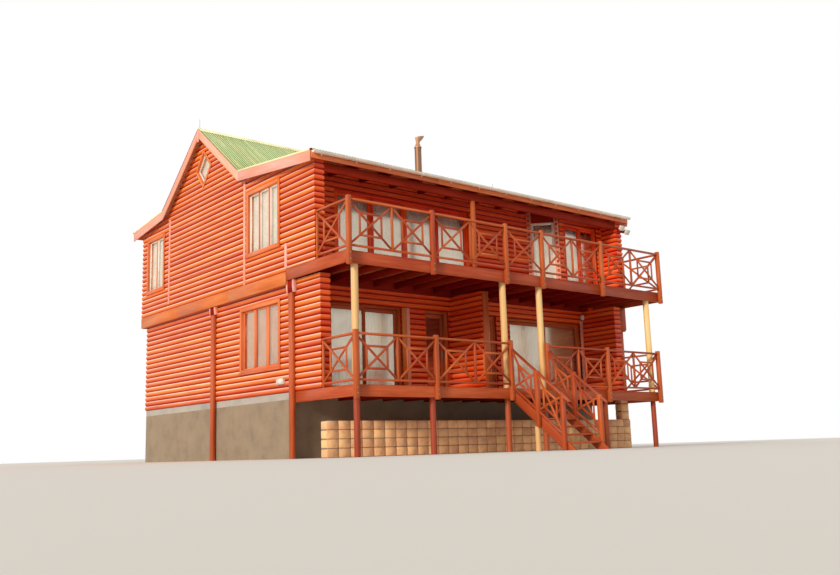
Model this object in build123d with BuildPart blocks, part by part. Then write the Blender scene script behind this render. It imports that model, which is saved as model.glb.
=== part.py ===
"""Two-storey timber holiday cottage with half-log walls, a deck and a balcony.

Millimetres, +Z up. X runs along the front from the left gable to the right one, Y runs
from the garden stair at the front to the back. The origin lies on the ground, under the
middle of the front wall.
"""
from build123d import *
import math
import os

os.makedirs("parts", exist_ok=True)

# Levels above the lowest ground
lower_deck_top = 1410
storey_height = 2680
upper_deck_top = lower_deck_top + storey_height
belt_top = upper_deck_top - 65
belt_depth = 285
belt_stand = 12
floor_depth = 260

# Plan of the upper storey, measured between the backs of its half logs
upper_width = 10224
house_depth = 7890
wall = 200
wing_reach = 1145
left_overhang = 120
right_overhang = 310
rear_overhang = 120

# Half-log cladding: each course is drawn with three flats, and the middle one stands out
log_course = 129
log_bulge = 28
log_flats = 3

# Decks
deck_depth = 2300
board_thickness = 30
fascia_thickness = 40
lower_fascia_depth = 235
upper_fascia_depth = 260
joist_spacing = 600
joist_width = 50
joist_depth = 150
bearer_width = 90

# Balustrades
thick_post = 95
thin_post = 45
rail_width = 75
rail_height = 45
bar_width = 45
bar_depth = 30
lower_rail_top = 1025
upper_rail_top = 1065
post_stand = 50
post_drop = 45
bottom_rail_gap = 90
stair_bay = 1210
wide_bay = 2190
stair_shift = 20
thin_post_from = 1800
inner_share = 0.25

# Round poles
pole_diameter = 155
short_post_diameter = 130
pole_sides = 16
pole_setback = 125
pole_clearance = 6

# Garden stair
risers = 8
going = 225
tread_depth = 220
tread_thickness = 40
stringer_thickness = 50
stringer_depth = 260
stringer_drop = 20
stringer_toe = 30
stringer_nose = 60
newel_lap = 20
stair_newel_spacing = 710
stair_rail_rise = 960
handrail_reach = 190
stair_prop_diameter = 120
prop_clearance = 6

# Foundation and retaining wall
foundation_wall = 220
ground_slab = 150
retaining_height = 750
retaining_thickness = 220
retaining_setback = 1000
pier_width = 300
pier_inset = 380

# Roof
front_overhang = 105
rear_eave = 270
rake_overhang = 150
knee_height = 6785
knee_from_front = 1900
ridge_from_front = 4055
apex_height = 8500
lean_pitch = 6.5
roof_drop = 55
barge_thickness = 32
barge_depth = 250
rafter_width = 50
rafter_depth = 130
rafter_spacing = 900
eave_beam_width = 70
eave_beam_depth = 190
eave_beam_setback = 5
eave_post = 115
eave_post_from_left = 4600
eave_post_tenon = 10
gutter_radius = 62
gutter_wall = 4
gutter_drop = 25
fascia_depth = 170
ridge_leg = 170
ridge_cap_thickness = 10
finial_side = 16
finial_height = 270

# Flue
flue_diameter = 180
flue_wall = 8
flue_from_left = 4650
flue_from_front = 950
flue_top = 8020
flue_tail = 500
flue_sides = 20
cowl_collar = 25
cowl_collar_stand = 12
cowl_neck = 100
cowl_neck_height = 130
cowl_height = 370
cowl_spread = 280
cowl_reach = 70
cowl_tilt = 14
cowl_mouth_drop = 34

# Openings in the gables: distance back from the front wall, sill, size
casing_lap = 45
casing_stand = 22
lining = 40
pane_thickness = 6
mullion = 58
sash_depth = 60
lower_window_back = 440
lower_window_width = 1840
lower_window_sill = 1975
lower_window_height = 1545
front_window_back = 240
front_window_width = 1520
rear_window_back = 6390
rear_window_width = 1170
upper_window_sill = 4660
upper_window_height = 1570
diamond_width = 900
diamond_height = 1040
diamond_middle = 7450

# Windows in the back wall, from the left gable
back_window_inset = 1900
back_window_width = 1520

# Upper front openings, from the left gable
upper_door_head = 6150
upper_doors_from_left = 1290
upper_doors_width = 4190
upper_door_panels = 4
bay_from_left = 7650
bay_projection = 620
bay_door_inset = 160
bay_door_width = 1400
bay_door_setback = 20
bay_head = 6150
bay_wall = 120
bay_frame_depth = 80
cant_margin = 130
cant_sill = 120
cant_pane_setback = 30
cut_allowance = 10

# Lower front openings, from the left gable of the upper storey
lower_door_head = 3470
left_slider_from_left = 1060
left_slider_width = 2110
narrow_door_from_left = 3910
narrow_door_width = 740
middle_wing_from_left = 4740
middle_wing_width = 190
narrow_light_from_left = 5560
right_slider_from_left = 6770
right_slider_width = 2830

# Doors
door_frame = 60
door_frame_depth = 140
leaf_thickness = 40
leaf_stile = 75
leaf_setback = 15
upper_bottom_rail = 150
bottom_rail = 110
sill_height = 40
door_clearance = 6
track_gap = 6
runner_gap = 0.3
runner_diameter = 28
runner_thickness = 12
hinge_diameter = 18
hinge_sides = 12
hinge_length = 90
hinge_plate_width = 40
hinge_plate_thickness = 4
hinge_levels = (200, 950, 1700)

# Corbels and the boards under them
corbel_width = 300
corbel_forward = 100
corbel_height = 280
corbel_post_width = 150
corbel_post_depth = 80
middle_corbel_back = 3580
corbel_box_courses = 2
corbel_box_depth = 410
corbel_box_bevel = 60

# Upright boards over the joints of the logs
batten_width = 80
batten_stand = 14
front_batten_back = 1870
rear_batten_back = 6080
rear_batten_foot = 160
wing_board_thickness = 22

# Places worked out from the dimensions above
left_face = -upper_width / 2
right_face = upper_width / 2
left_crest = left_face - log_bulge
right_crest = right_face + log_bulge
front_face = -wall / 2
front_crest = front_face - log_bulge
rear_face = front_face + house_depth
rear_crest = rear_face + log_bulge
lower_left_face = left_face + left_overhang
lower_right_face = right_face - right_overhang
lower_rear_face = rear_face - rear_overhang
wing_face = front_face - wing_reach
wing_crest = wing_face - log_bulge
deck_front = front_face - deck_depth
pole_y = deck_front + pole_setback
belt_bottom = belt_top - belt_depth
floor_bottom = upper_deck_top - floor_depth
knee_y = front_face + knee_from_front
house_middle = front_face + ridge_from_front
back_knee_y = 2 * house_middle - knee_y
front_eave_y = wing_crest - front_overhang
rear_eave_y = rear_crest + rear_eave
lean_slope = math.tan(math.radians(lean_pitch))
front_eave_height = knee_height - (knee_y - front_eave_y) * lean_slope
rear_eave_height = knee_height - (rear_eave_y - back_knee_y) * lean_slope
roof_left = left_crest - rake_overhang
roof_right = right_crest + rake_overhang
riser = lower_deck_top / risers
stair_slope = riser / going
roof_line = [
    (front_eave_y, front_eave_height),
    (knee_y, knee_height),
    (house_middle, apex_height),
    (back_knee_y, knee_height),
    (rear_eave_y, rear_eave_height),
]
left_corner_post = left_crest + thick_post / 2
right_corner_post = right_crest - thick_post / 2
stair_left = left_corner_post + 2 * wide_bay + stair_shift
stair_right = stair_left + stair_bay


def roof_height(y):
    """Top of the roof sheets at a distance from the front."""
    for (y0, z0), (y1, z1) in zip(roof_line, roof_line[1:]):
        if y <= y1 or (y1, z1) == roof_line[-1]:
            return z0 + (z1 - z0) * (y - y0) / (y1 - y0)


def roof_band(start, end, top_offset, bottom_offset):
    """Corners of the part of the roof line between two Y values, as a closed band."""
    inner = [p[0] for p in roof_line if start < p[0] < end]
    places = [start] + inner + [end]
    top = [(y, roof_height(y) + top_offset) for y in places]
    bottom = [(y, roof_height(y) + bottom_offset) for y in reversed(places)]
    return top + bottom


def log_bulge_at(height, base):
    """How far a half log stands out at a height: it rises, runs flat and falls again."""
    share = (height - base) % log_course / log_course
    return log_bulge * min(1, log_flats * min(share, 1 - share))


def log_face(face, side, base, bottom, top):
    """Points up a clad face from bottom to top, where side is -1 or 1."""
    flat = log_course / log_flats
    first = math.floor((bottom - base) / flat) + 1
    last = math.ceil((top - base) / flat)
    heights = [bottom] + [base + n * flat for n in range(first, last)] + [top]
    return [(face + side * log_bulge_at(h, base), h) for h in heights]


def wall_section(low, high, base, bottom, top, clad_low=False, clad_high=False):
    """Section across a wall between two faces, with half logs on the clad ones."""
    if clad_high:
        up = log_face(high, 1, base, bottom, top)
    else:
        up = [(high, bottom), (high, top)]
    if clad_low:
        down = log_face(low, -1, base, bottom, top)[::-1]
    else:
        down = [(low, top), (low, bottom)]
    Polygon(*up, *down, align=None)


def side_wall(low, high, start, end, base, bottom, top, clad_low, clad_high):
    """A wall that runs from front to back, from one Y to another."""
    with BuildSketch(Plane.XZ.offset(-start)) as section:
        wall_section(low, high, base, bottom, top, clad_low, clad_high)
    extrude(section.sketch, amount=start - end)


def cross_wall(low, high, start, end, base, bottom, top, clad_low, clad_high, mode=Mode.ADD):
    """A wall that runs along the front, from one X to another."""
    with BuildSketch(Plane.YZ.offset(start)) as section:
        wall_section(low, high, base, bottom, top, clad_low, clad_high)
    extrude(section.sketch, amount=end - start, mode=mode)


def board(plane, low, high, depth, mode=Mode.ADD):
    """A rectangle between two corners on a plane, extruded to a depth."""
    middle = ((low[0] + high[0]) / 2, (low[1] + high[1]) / 2)
    with BuildSketch(plane) as section:
        with Locations(middle):
            Rectangle(high[0] - low[0], high[1] - low[1])
    extrude(section.sketch, amount=depth, mode=mode)


def bar(start, end, width):
    """A straight bar between two points of the current sketch."""
    length = math.hypot(end[0] - start[0], end[1] - start[1])
    turn = math.degrees(math.atan2(end[1] - start[1], end[0] - start[0]))
    with Locations(((start[0] + end[0]) / 2, (start[1] + end[1]) / 2)):
        Rectangle(length, width, rotation=turn)


def panel_bars(start, end, bottom, top, slope=0):
    """A crossed panel: two diagonals and a smaller frame whose corners lie on them."""
    def place(u, v):
        x = start + u * (end - start)
        return (x, bottom + v * (top - bottom) + slope * (x - start))

    low, high = inner_share, 1 - inner_share
    bar(place(0, 0), place(1, 1), bar_width)
    bar(place(0, 1), place(1, 0), bar_width)
    corners = [place(low, low), place(high, low), place(high, high), place(low, high)]
    for here, there in zip(corners, corners[1:] + corners[:1]):
        bar(here, there, bar_width)


def crossed_run(plane, posts, bottom, top):
    """Crossed panels between neighbouring posts, with a bottom rail and a handrail."""
    rail_bottom = bottom + bottom_rail_gap
    with BuildSketch(plane.offset(-bar_depth / 2)) as section:
        for here, there in zip(posts, posts[1:]):
            panel_bars(here, there, rail_bottom, top - rail_height)
        bar((posts[0], rail_bottom), (posts[-1], rail_bottom), bar_width)
        with Locations(((posts[0] + posts[-1]) / 2, (bottom + top) / 2)):
            Rectangle(posts[-1] - posts[0], top - bottom, mode=Mode.INTERSECT)
    extrude(section.sketch, amount=bar_depth)
    board(
        plane.offset(-rail_width / 2),
        (posts[0], top - rail_height),
        (posts[-1], top),
        rail_width,
    )


def upright(centre, side, bottom, top):
    """A square post."""
    with BuildSketch(Plane.XY.offset(bottom)) as section:
        with Locations(centre):
            Rectangle(side, side)
    extrude(section.sketch, amount=top - bottom)


def round_post(centre, diameter, bottom, top):
    """A round pole, with as many sides as show at its size."""
    with BuildSketch(Plane.XY.offset(bottom)) as section:
        with Locations(centre):
            RegularPolygon(diameter / 2, pole_sides)
    extrude(section.sketch, amount=top - bottom)


def window_lights(width, lights):
    """Middles of the mullions of a window, from its centre line."""
    inside = width - 2 * casing_lap - 2 * lining
    return [-inside / 2 + inside * n / lights for n in range(1, lights)]


def window_frame(plane, width, height, lights, through):
    """Casing, lining and mullions, on a plane at the crest of the logs."""
    hole = (width - 2 * casing_lap, height - 2 * casing_lap)
    clear = (hole[0] - 2 * lining, hole[1] - 2 * lining)
    with BuildSketch(plane) as section:
        Rectangle(width, height)
        Rectangle(*clear, mode=Mode.SUBTRACT)
    extrude(section.sketch, amount=casing_stand)
    with BuildSketch(plane) as section:
        Rectangle(*hole)
        Rectangle(*clear, mode=Mode.SUBTRACT)
    extrude(section.sketch, amount=-through)
    with BuildSketch(plane.offset(-sash_depth / 2)) as section:
        for middle in window_lights(width, lights):
            with Locations((middle, 0)):
                Rectangle(mullion, clear[1])
    extrude(section.sketch, amount=-sash_depth)


def window_panes(plane, width, height, lights):
    """One sheet of glass in each light, in the middle of the sash."""
    clear_height = height - 2 * casing_lap - 2 * lining
    clear_width = width - 2 * casing_lap - 2 * lining
    middles = window_lights(width, lights)
    lows = [-clear_width / 2] + [m + mullion / 2 for m in middles]
    highs = [m - mullion / 2 for m in middles] + [clear_width / 2]
    with BuildSketch(plane.offset(-sash_depth)) as section:
        for low, high in zip(lows, highs):
            with Locations(((low + high) / 2, 0)):
                Rectangle(high - low, clear_height)
    extrude(section.sketch, amount=-pane_thickness)


def window_hole(plane, width, height, through):
    """The opening that a window's lining fills."""
    with BuildSketch(plane.offset(log_bulge)) as section:
        Rectangle(width - 2 * casing_lap, height - 2 * casing_lap)
    extrude(section.sketch, amount=-through - 2 * log_bulge, mode=Mode.SUBTRACT)


def left_plane(crest, back, sill, width, height):
    """Plane on the crest of a left gable, centred on a window."""
    y = front_face + back + width / 2
    return Plane(origin=(crest, y, sill + height / 2), x_dir=(0, -1, 0), z_dir=(-1, 0, 0))


def right_plane(crest, back, sill, width, height):
    """Plane on the crest of a right gable, centred on a window."""
    y = front_face + back + width / 2
    return Plane(origin=(crest, y, sill + height / 2), x_dir=(0, 1, 0), z_dir=(1, 0, 0))


def back_plane(x, crest, sill, height):
    """Plane on the crest of the back wall, centred on a window."""
    return Plane(origin=(x, crest, sill + height / 2), x_dir=(-1, 0, 0), z_dir=(0, 1, 0))


def front_plane(low, y, bottom):
    """Plane that faces the garden, with its corner at the foot of an opening."""
    return Plane(origin=(low, y, bottom), x_dir=(1, 0, 0), z_dir=(0, -1, 0))


wall_through = wall + log_bulge
lower_crests = (lower_left_face - log_bulge, lower_right_face + log_bulge)
upper_crests = (left_crest, right_crest)
lower_deck_left, lower_deck_right = lower_crests
lower_size = (lower_window_width, lower_window_height)
upper_front_size = (front_window_width, upper_window_height)
upper_rear_size = (rear_window_width, upper_window_height)
back_size = (back_window_width, upper_window_height)
back_window_middles = (
    left_face + back_window_inset + back_window_width / 2,
    right_face - back_window_inset - back_window_width / 2,
)
windows = []
for make_plane, lower_crest, upper_crest in (
    (left_plane, lower_crests[0], upper_crests[0]),
    (right_plane, lower_crests[1], upper_crests[1]),
):
    for crest, back, sill, size, lights in (
        (lower_crest, lower_window_back, lower_window_sill, lower_size, 3),
        (upper_crest, front_window_back, upper_window_sill, upper_front_size, 3),
        (upper_crest, rear_window_back, upper_window_sill, upper_rear_size, 2),
    ):
        windows.append((make_plane(crest, back, sill, *size), size, lights))
for x in back_window_middles:
    lower_place = back_plane(x, lower_rear_face + log_bulge, lower_window_sill, back_size[1])
    upper_place = back_plane(x, rear_crest, upper_window_sill, back_size[1])
    windows.append((lower_place, back_size, 3))
    windows.append((upper_place, back_size, 3))
left_lower_windows, right_lower_windows = windows[0:1], windows[3:4]
left_upper_windows, right_upper_windows = windows[1:3], windows[4:6]
back_lower_windows, back_upper_windows = windows[6::2], windows[7::2]


# Foundation walls, in one ring under the lower storey
with BuildPart() as foundation:
    ring_width = lower_right_face - lower_left_face
    ring_depth = lower_rear_face - front_face
    room = (ring_width - 2 * foundation_wall, ring_depth - 2 * foundation_wall)
    middle = ((lower_left_face + lower_right_face) / 2, (front_face + lower_rear_face) / 2)
    with BuildSketch():
        with Locations(middle):
            Rectangle(ring_width, ring_depth)
            Rectangle(*room, mode=Mode.SUBTRACT)
    extrude(amount=lower_deck_top - ground_slab)
foundation.part.label = "foundation"
export_step(foundation.part, "parts/foundation.step")

# Retaining wall of two courses of blocks under the deck
with BuildPart() as retaining_wall:
    board(
        Plane.XY,
        (lower_left_face, deck_front + retaining_setback),
        (lower_right_face, deck_front + retaining_setback + retaining_thickness),
        retaining_height,
    )
retaining_wall.part.label = "retaining_wall"
export_step(retaining_wall.part, "parts/retaining_wall.step")

# Ground floor slab
with BuildPart() as ground_floor:
    board(
        Plane.XY.offset(lower_deck_top),
        (lower_left_face, front_face),
        (lower_right_face, lower_rear_face),
        -ground_slab,
    )
ground_floor.part.label = "ground_floor"
export_step(ground_floor.part, "parts/ground_floor.step")

# Upper floor, carried on the walls of the lower storey
with BuildPart() as upper_floor:
    board(
        Plane.XY.offset(upper_deck_top),
        (left_face + wall, front_face),
        (right_face - wall, rear_face - wall),
        -floor_depth,
    )
upper_floor.part.label = "upper_floor"
export_step(upper_floor.part, "parts/upper_floor.step")


def deck_frame(left, right, top, fascia):
    """Boards on joists and a bearer, inside a fascia that is open towards the house."""
    board(Plane.XY.offset(top), (left, deck_front), (right, front_face), -board_thickness)
    middle = (left + right) / 2
    inner_width = right - left - 2 * fascia_thickness
    inner_depth = deck_depth - fascia_thickness
    inner_middle = (middle, front_face - inner_depth / 2)
    with BuildSketch(Plane.XY.offset(top)) as section:
        with Locations((middle, front_face - deck_depth / 2)):
            Rectangle(right - left, deck_depth)
        with Locations(inner_middle):
            Rectangle(inner_width, inner_depth, mode=Mode.SUBTRACT)
    extrude(section.sketch, amount=-fascia)
    count = round((right - left) / joist_spacing)
    spacing = (right - left) / count
    with BuildSketch(Plane.XY.offset(top - board_thickness)) as section:
        with Locations(inner_middle):
            with GridLocations(spacing, 1, count - 1, 1):
                Rectangle(joist_width, inner_depth)
        with Locations((middle, pole_y)):
            Rectangle(inner_width, bearer_width)
    extrude(section.sketch, amount=-joist_depth)


with BuildPart() as lower_deck:
    deck_frame(lower_deck_left, lower_deck_right, lower_deck_top, lower_fascia_depth)
lower_deck.part.label = "lower_deck"
export_step(lower_deck.part, "parts/lower_deck.step")

with BuildPart() as upper_deck:
    deck_frame(left_crest, right_crest, upper_deck_top, upper_fascia_depth)
upper_deck.part.label = "upper_deck"
export_step(upper_deck.part, "parts/upper_deck.step")

# Pier of blocks on the retaining wall, between two joists, up to the boards of the deck
with BuildPart() as deck_pier:
    pier_left = lower_deck_right - pier_inset
    board(
        Plane.XY.offset(retaining_height),
        (pier_left, deck_front + retaining_setback),
        (pier_left + pier_width, deck_front + retaining_setback + retaining_thickness),
        lower_deck_top - board_thickness - retaining_height,
    )
deck_pier.part.label = "deck_pier"
export_step(deck_pier.part, "parts/deck_pier.step")

# Round poles between the decks, and short ones down to the ground
joist_bottom_lower = lower_deck_top - board_thickness - joist_depth
joist_bottom_upper = upper_deck_top - board_thickness - joist_depth
pole_inset = (thick_post + rail_width + pole_diameter) / 2 + pole_clearance
pole_places = (
    lower_deck_left + pole_inset,
    stair_left,
    stair_right,
    lower_deck_right - pole_inset,
)
with BuildPart() as poles:
    for x in pole_places:
        round_post((x, pole_y), pole_diameter, lower_deck_top, joist_bottom_upper)
poles.part.label = "poles"
export_step(poles.part, "parts/poles.step")

short_places = (
    pole_places[0],
    left_corner_post + wide_bay,
    pole_places[1],
    pole_places[2],
    stair_right + wide_bay,
    pole_places[3],
)
with BuildPart() as short_posts:
    for x in short_places:
        round_post((x, pole_y), short_post_diameter, 0, joist_bottom_lower)
short_posts.part.label = "short_posts"
export_step(short_posts.part, "parts/short_posts.step")

# Garden stair
stair_y = deck_front
stringer_foot_y = stair_y - lower_deck_top / stair_slope - stringer_toe
stringer_middles = (
    stair_left + (thick_post + stringer_thickness) / 2,
    stair_right - (thick_post + stringer_thickness) / 2,
)
with BuildPart() as stair_stringers:
    for x in stringer_middles:
        with BuildSketch(Plane.YZ.offset(x - stringer_thickness / 2)):
            with BuildLine():
                rise = stair_slope * (stair_y - stringer_foot_y)
                top_back = lower_deck_top - stringer_drop
                Polyline(
                    (stair_y, top_back),
                    (stair_y, top_back - stringer_depth),
                    (stair_y - (top_back - stringer_depth) / stair_slope, 0),
                    (stringer_foot_y, 0),
                    (stringer_foot_y, max(top_back - rise, stringer_nose)),
                    close=True,
                )
            make_face()
        extrude(amount=stringer_thickness)
stair_stringers.part.label = "stair_stringers"
export_step(stair_stringers.part, "parts/stair_stringers.step")

with BuildPart() as stair_treads:
    for step in range(1, risers):
        nosing = stair_y - step * going
        board(
            Plane.XY.offset(lower_deck_top - step * riser),
            (stringer_middles[0] + stringer_thickness / 2, nosing),
            (stringer_middles[1] - stringer_thickness / 2, nosing + tread_depth),
            -tread_thickness,
        )
stair_treads.part.label = "stair_treads"
export_step(stair_treads.part, "parts/stair_treads.step")


def stringer_underside(y):
    """Height of the lower edge of the stringers."""
    return lower_deck_top - stringer_drop - stringer_depth - (stair_y - y) * stair_slope


stair_rail_start = deck_front - thick_post
newel_places = [stair_rail_start - n * stair_newel_spacing for n in (2, 1)]
prop_y = newel_places[1] + (thick_post + stair_prop_diameter) / 2 + prop_clearance
with BuildPart() as stair_props:
    for x in stringer_middles:
        with BuildSketch():
            with Locations((x, prop_y)):
                RegularPolygon(stair_prop_diameter / 2, pole_sides)
        extrude(amount=stringer_underside(prop_y - stair_prop_diameter / 2))
stair_props.part.label = "stair_props"
export_step(stair_props.part, "parts/stair_props.step")

# Rails of the stair: two raked crossed panels a side, between newels
def nosing_line(y):
    """Height of the line through the front edges of the treads."""
    return lower_deck_top - (stair_y - y) * stair_slope


rail_knots = newel_places + [stair_rail_start]
rail_end = newel_places[0] - handrail_reach
infill_depth = stair_rail_rise - bottom_rail_gap - rail_height
with BuildPart() as stair_rails:
    for x in (stair_left, stair_right):
        for y in newel_places:
            with BuildSketch(Plane.XY.offset(max(stringer_underside(y) + newel_lap, 0))) as newel:
                with Locations((x, y)):
                    Rectangle(thick_post, thick_post)
            extrude(amount=nosing_line(y) + stair_rail_rise - newel.sketch.center().Z)
        with BuildSketch(Plane.YZ.offset(x - bar_depth / 2)):
            for here, there in zip(rail_knots, rail_knots[1:]):
                foot = nosing_line(here) + bottom_rail_gap
                panel_bars(here, there, foot, foot + infill_depth, stair_slope)
            low = nosing_line(rail_knots[0]) + bottom_rail_gap
            high = nosing_line(rail_knots[-1]) + bottom_rail_gap
            bar((rail_knots[0], low), (rail_knots[-1], high), bar_width)
            Polygon(
                (rail_knots[0], low - bar_width),
                (rail_knots[-1], high - bar_width),
                (rail_knots[-1], high + stair_rail_rise),
                (rail_knots[0], low + stair_rail_rise),
                align=None,
                mode=Mode.INTERSECT,
            )
        extrude(amount=bar_depth)
        with BuildSketch(Plane.YZ.offset(x - rail_width / 2)):
            Polygon(
                (rail_end, nosing_line(rail_end) + stair_rail_rise),
                (stair_rail_start, nosing_line(stair_rail_start) + stair_rail_rise),
                (stair_rail_start, nosing_line(stair_rail_start) + stair_rail_rise - rail_height),
                (rail_end, nosing_line(rail_end) + stair_rail_rise - rail_height),
                align=None,
            )
        extrude(amount=rail_width)
stair_rails.part.label = "stair_rails"
export_step(stair_rails.part, "parts/stair_rails.step")

# Balustrades: thick posts are bolted to the face of the fascia
post_y = deck_front - thick_post / 2


def front_run(thick, bottom, rail_top, fascia):
    """Front balustrade through a list of thick posts, with a thin post between each pair."""
    places = []
    for here, there in zip(thick, thick[1:]):
        places.append(here)
        if there - here > thin_post_from:
            places.append((here + there) / 2)
    places.append(thick[-1])
    plane = Plane(origin=(0, post_y, 0), x_dir=(1, 0, 0), z_dir=(0, -1, 0))
    crossed_run(plane, places, bottom, bottom + rail_top)
    for x in places:
        if x in thick:
            upright((x, post_y), thick_post, bottom - fascia - post_drop, bottom + rail_top + post_stand)
        else:
            upright((x, post_y), thin_post, bottom + bottom_rail_gap, bottom + rail_top)


lower_left_posts = [lower_deck_left + thick_post / 2, left_corner_post + wide_bay, stair_left]
lower_right_posts = [stair_right, stair_right + wide_bay, lower_deck_right - thick_post / 2]
upper_posts = [
    left_corner_post,
    left_corner_post + wide_bay,
    stair_left,
    stair_right,
    stair_right + wide_bay,
    right_corner_post,
]
with BuildPart() as lower_balustrade:
    for posts in (lower_left_posts, lower_right_posts):
        front_run(posts, lower_deck_top, lower_rail_top, lower_fascia_depth)
lower_balustrade.part.label = "lower_balustrade"
export_step(lower_balustrade.part, "parts/lower_balustrade.step")

with BuildPart() as upper_balustrade:
    front_run(upper_posts, upper_deck_top, upper_rail_top, upper_fascia_depth)
upper_balustrade.part.label = "upper_balustrade"
export_step(upper_balustrade.part, "parts/upper_balustrade.step")


def side_run(x, bottom, rail_top):
    """Short balustrade from the corner post back to the wing of the wall."""
    plane = Plane(origin=(x, 0, 0), x_dir=(0, 1, 0), z_dir=(1, 0, 0))
    start = deck_front
    end = wing_crest
    crossed_run(plane, [start, end], bottom, bottom + rail_top)
    board(
        plane.offset(-thin_post / 2),
        (end - thin_post, bottom),
        (end, bottom + rail_top),
        thin_post,
    )


with BuildPart() as lower_side_rails:
    for x in (lower_left_posts[0], lower_right_posts[-1]):
        side_run(x, lower_deck_top, lower_rail_top)
lower_side_rails.part.label = "lower_side_rails"
export_step(lower_side_rails.part, "parts/lower_side_rails.step")

with BuildPart() as upper_side_rails:
    for x in (left_corner_post, right_corner_post):
        side_run(x, upper_deck_top, upper_rail_top)
upper_side_rails.part.label = "upper_side_rails"
export_step(upper_side_rails.part, "parts/upper_side_rails.step")


def gable_wall(low, high, clad_low, bottom, top, rear, deck_level):
    """A gable wall, with its wing past the front wall clad on both faces and on its end."""
    clad_high = not clad_low
    side_wall(low, high, front_face, rear + log_bulge, bottom, bottom, top, clad_low, clad_high)
    side_wall(low, high, front_crest, front_face, bottom, deck_level, top, clad_low, clad_high)
    side_wall(low, high, wing_crest, front_crest, bottom, deck_level, top, True, True)
    cross_wall(
        wing_face,
        rear,
        low - wall,
        high + wall,
        bottom,
        min(bottom, deck_level),
        top,
        True,
        True,
        mode=Mode.INTERSECT,
    )


lower_wall_top = floor_bottom
with BuildPart() as lower_left_wall:
    gable_wall(
        lower_left_face,
        lower_left_face + wall,
        True,
        lower_deck_top,
        lower_wall_top,
        lower_rear_face,
        lower_deck_top,
    )
    for plane, size, lights in left_lower_windows:
        window_hole(plane, *size, wall_through)
lower_left_wall.part.label = "lower_left_wall"
export_step(lower_left_wall.part, "parts/lower_left_wall.step")

with BuildPart() as lower_right_wall:
    gable_wall(
        lower_right_face - wall,
        lower_right_face,
        False,
        lower_deck_top,
        lower_wall_top,
        lower_rear_face,
        lower_deck_top,
    )
    for plane, size, lights in right_lower_windows:
        window_hole(plane, *size, wall_through)
lower_right_wall.part.label = "lower_right_wall"
export_step(lower_right_wall.part, "parts/lower_right_wall.step")

with BuildPart() as lower_back_wall:
    cross_wall(
        lower_rear_face - wall,
        lower_rear_face,
        lower_left_face + wall,
        lower_right_face - wall,
        lower_deck_top,
        lower_deck_top,
        lower_wall_top,
        False,
        True,
    )
    for plane, size, lights in back_lower_windows:
        window_hole(plane, *size, wall_through)
lower_back_wall.part.label = "lower_back_wall"
export_step(lower_back_wall.part, "parts/lower_back_wall.step")


def from_left(distance):
    """X of a place on the front, given from the crest of the upper left gable."""
    return left_crest + distance


def front_piers(openings, start, end, base, top):
    """Pieces of a front wall between its openings."""
    edges = [start]
    for low, high in openings:
        edges.extend((low, high))
    edges.append(end)
    for low, high in zip(edges[::2], edges[1::2]):
        cross_wall(front_face, front_face + wall, low, high, base, base, top, True, False)


lower_openings = [
    (from_left(left_slider_from_left), from_left(left_slider_from_left + left_slider_width)),
    (from_left(narrow_door_from_left), from_left(narrow_door_from_left + narrow_door_width)),
    (from_left(narrow_light_from_left), from_left(narrow_light_from_left + narrow_door_width)),
    (from_left(right_slider_from_left), from_left(right_slider_from_left + right_slider_width)),
]
lower_inside = (lower_left_face + wall, lower_right_face - wall)
with BuildPart() as lower_front_wall:
    front_piers(lower_openings, *lower_inside, lower_deck_top, lower_door_head)
lower_front_wall.part.label = "lower_front_wall"
export_step(lower_front_wall.part, "parts/lower_front_wall.step")

bay_left = from_left(bay_from_left)
bay_corner = bay_left + bay_projection
bay_face = front_face - bay_projection
upper_inside = (left_face + wall, right_face - wall)
upper_openings = [
    (from_left(upper_doors_from_left), from_left(upper_doors_from_left + upper_doors_width)),
]
with BuildPart() as upper_front_wall:
    front_piers(upper_openings, upper_inside[0], bay_left, upper_deck_top, upper_door_head)
upper_front_wall.part.label = "upper_front_wall"
export_step(upper_front_wall.part, "parts/upper_front_wall.step")

with BuildPart() as lower_lintel:
    cross_wall(
        front_face,
        front_face + wall,
        *lower_inside,
        lower_deck_top,
        lower_door_head,
        lower_wall_top,
        True,
        False,
    )
lower_lintel.part.label = "lower_lintel"
export_step(lower_lintel.part, "parts/lower_lintel.step")

with BuildPart() as upper_lintel:
    cross_wall(
        front_face,
        front_face + wall,
        *upper_inside,
        upper_deck_top,
        upper_door_head,
        knee_height,
        True,
        False,
    )
    with BuildSketch(Plane.YZ.offset(left_face)):
        Polygon(*roof_band(front_eave_y, knee_y, knee_height, -roof_drop), align=None)
    extrude(amount=upper_width, mode=Mode.SUBTRACT)
upper_lintel.part.label = "upper_lintel"
export_step(upper_lintel.part, "parts/upper_lintel.step")

# Wing wall that parts the deck in two
with BuildPart() as middle_wing:
    wing_left = from_left(middle_wing_from_left)
    side_wall(
        wing_left,
        wing_left + middle_wing_width,
        wing_crest,
        front_face - log_bulge,
        lower_deck_top,
        lower_deck_top,
        floor_bottom,
        True,
        True,
    )
    cross_wall(
        wing_face,
        front_face + wall,
        wing_left - wall,
        wing_left + 2 * wall,
        lower_deck_top,
        lower_deck_top,
        floor_bottom,
        True,
        False,
        mode=Mode.INTERSECT,
    )
middle_wing.part.label = "middle_wing"
export_step(middle_wing.part, "parts/middle_wing.step")

# Smooth board on the end of the wing wall
with BuildPart() as middle_wing_board:
    board(
        front_plane(wing_left, wing_crest, lower_deck_top),
        (0, 0),
        (middle_wing_width, floor_bottom - lower_deck_top),
        wing_board_thickness,
    )
middle_wing_board.part.label = "middle_wing_board"
export_step(middle_wing_board.part, "parts/middle_wing_board.step")


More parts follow.
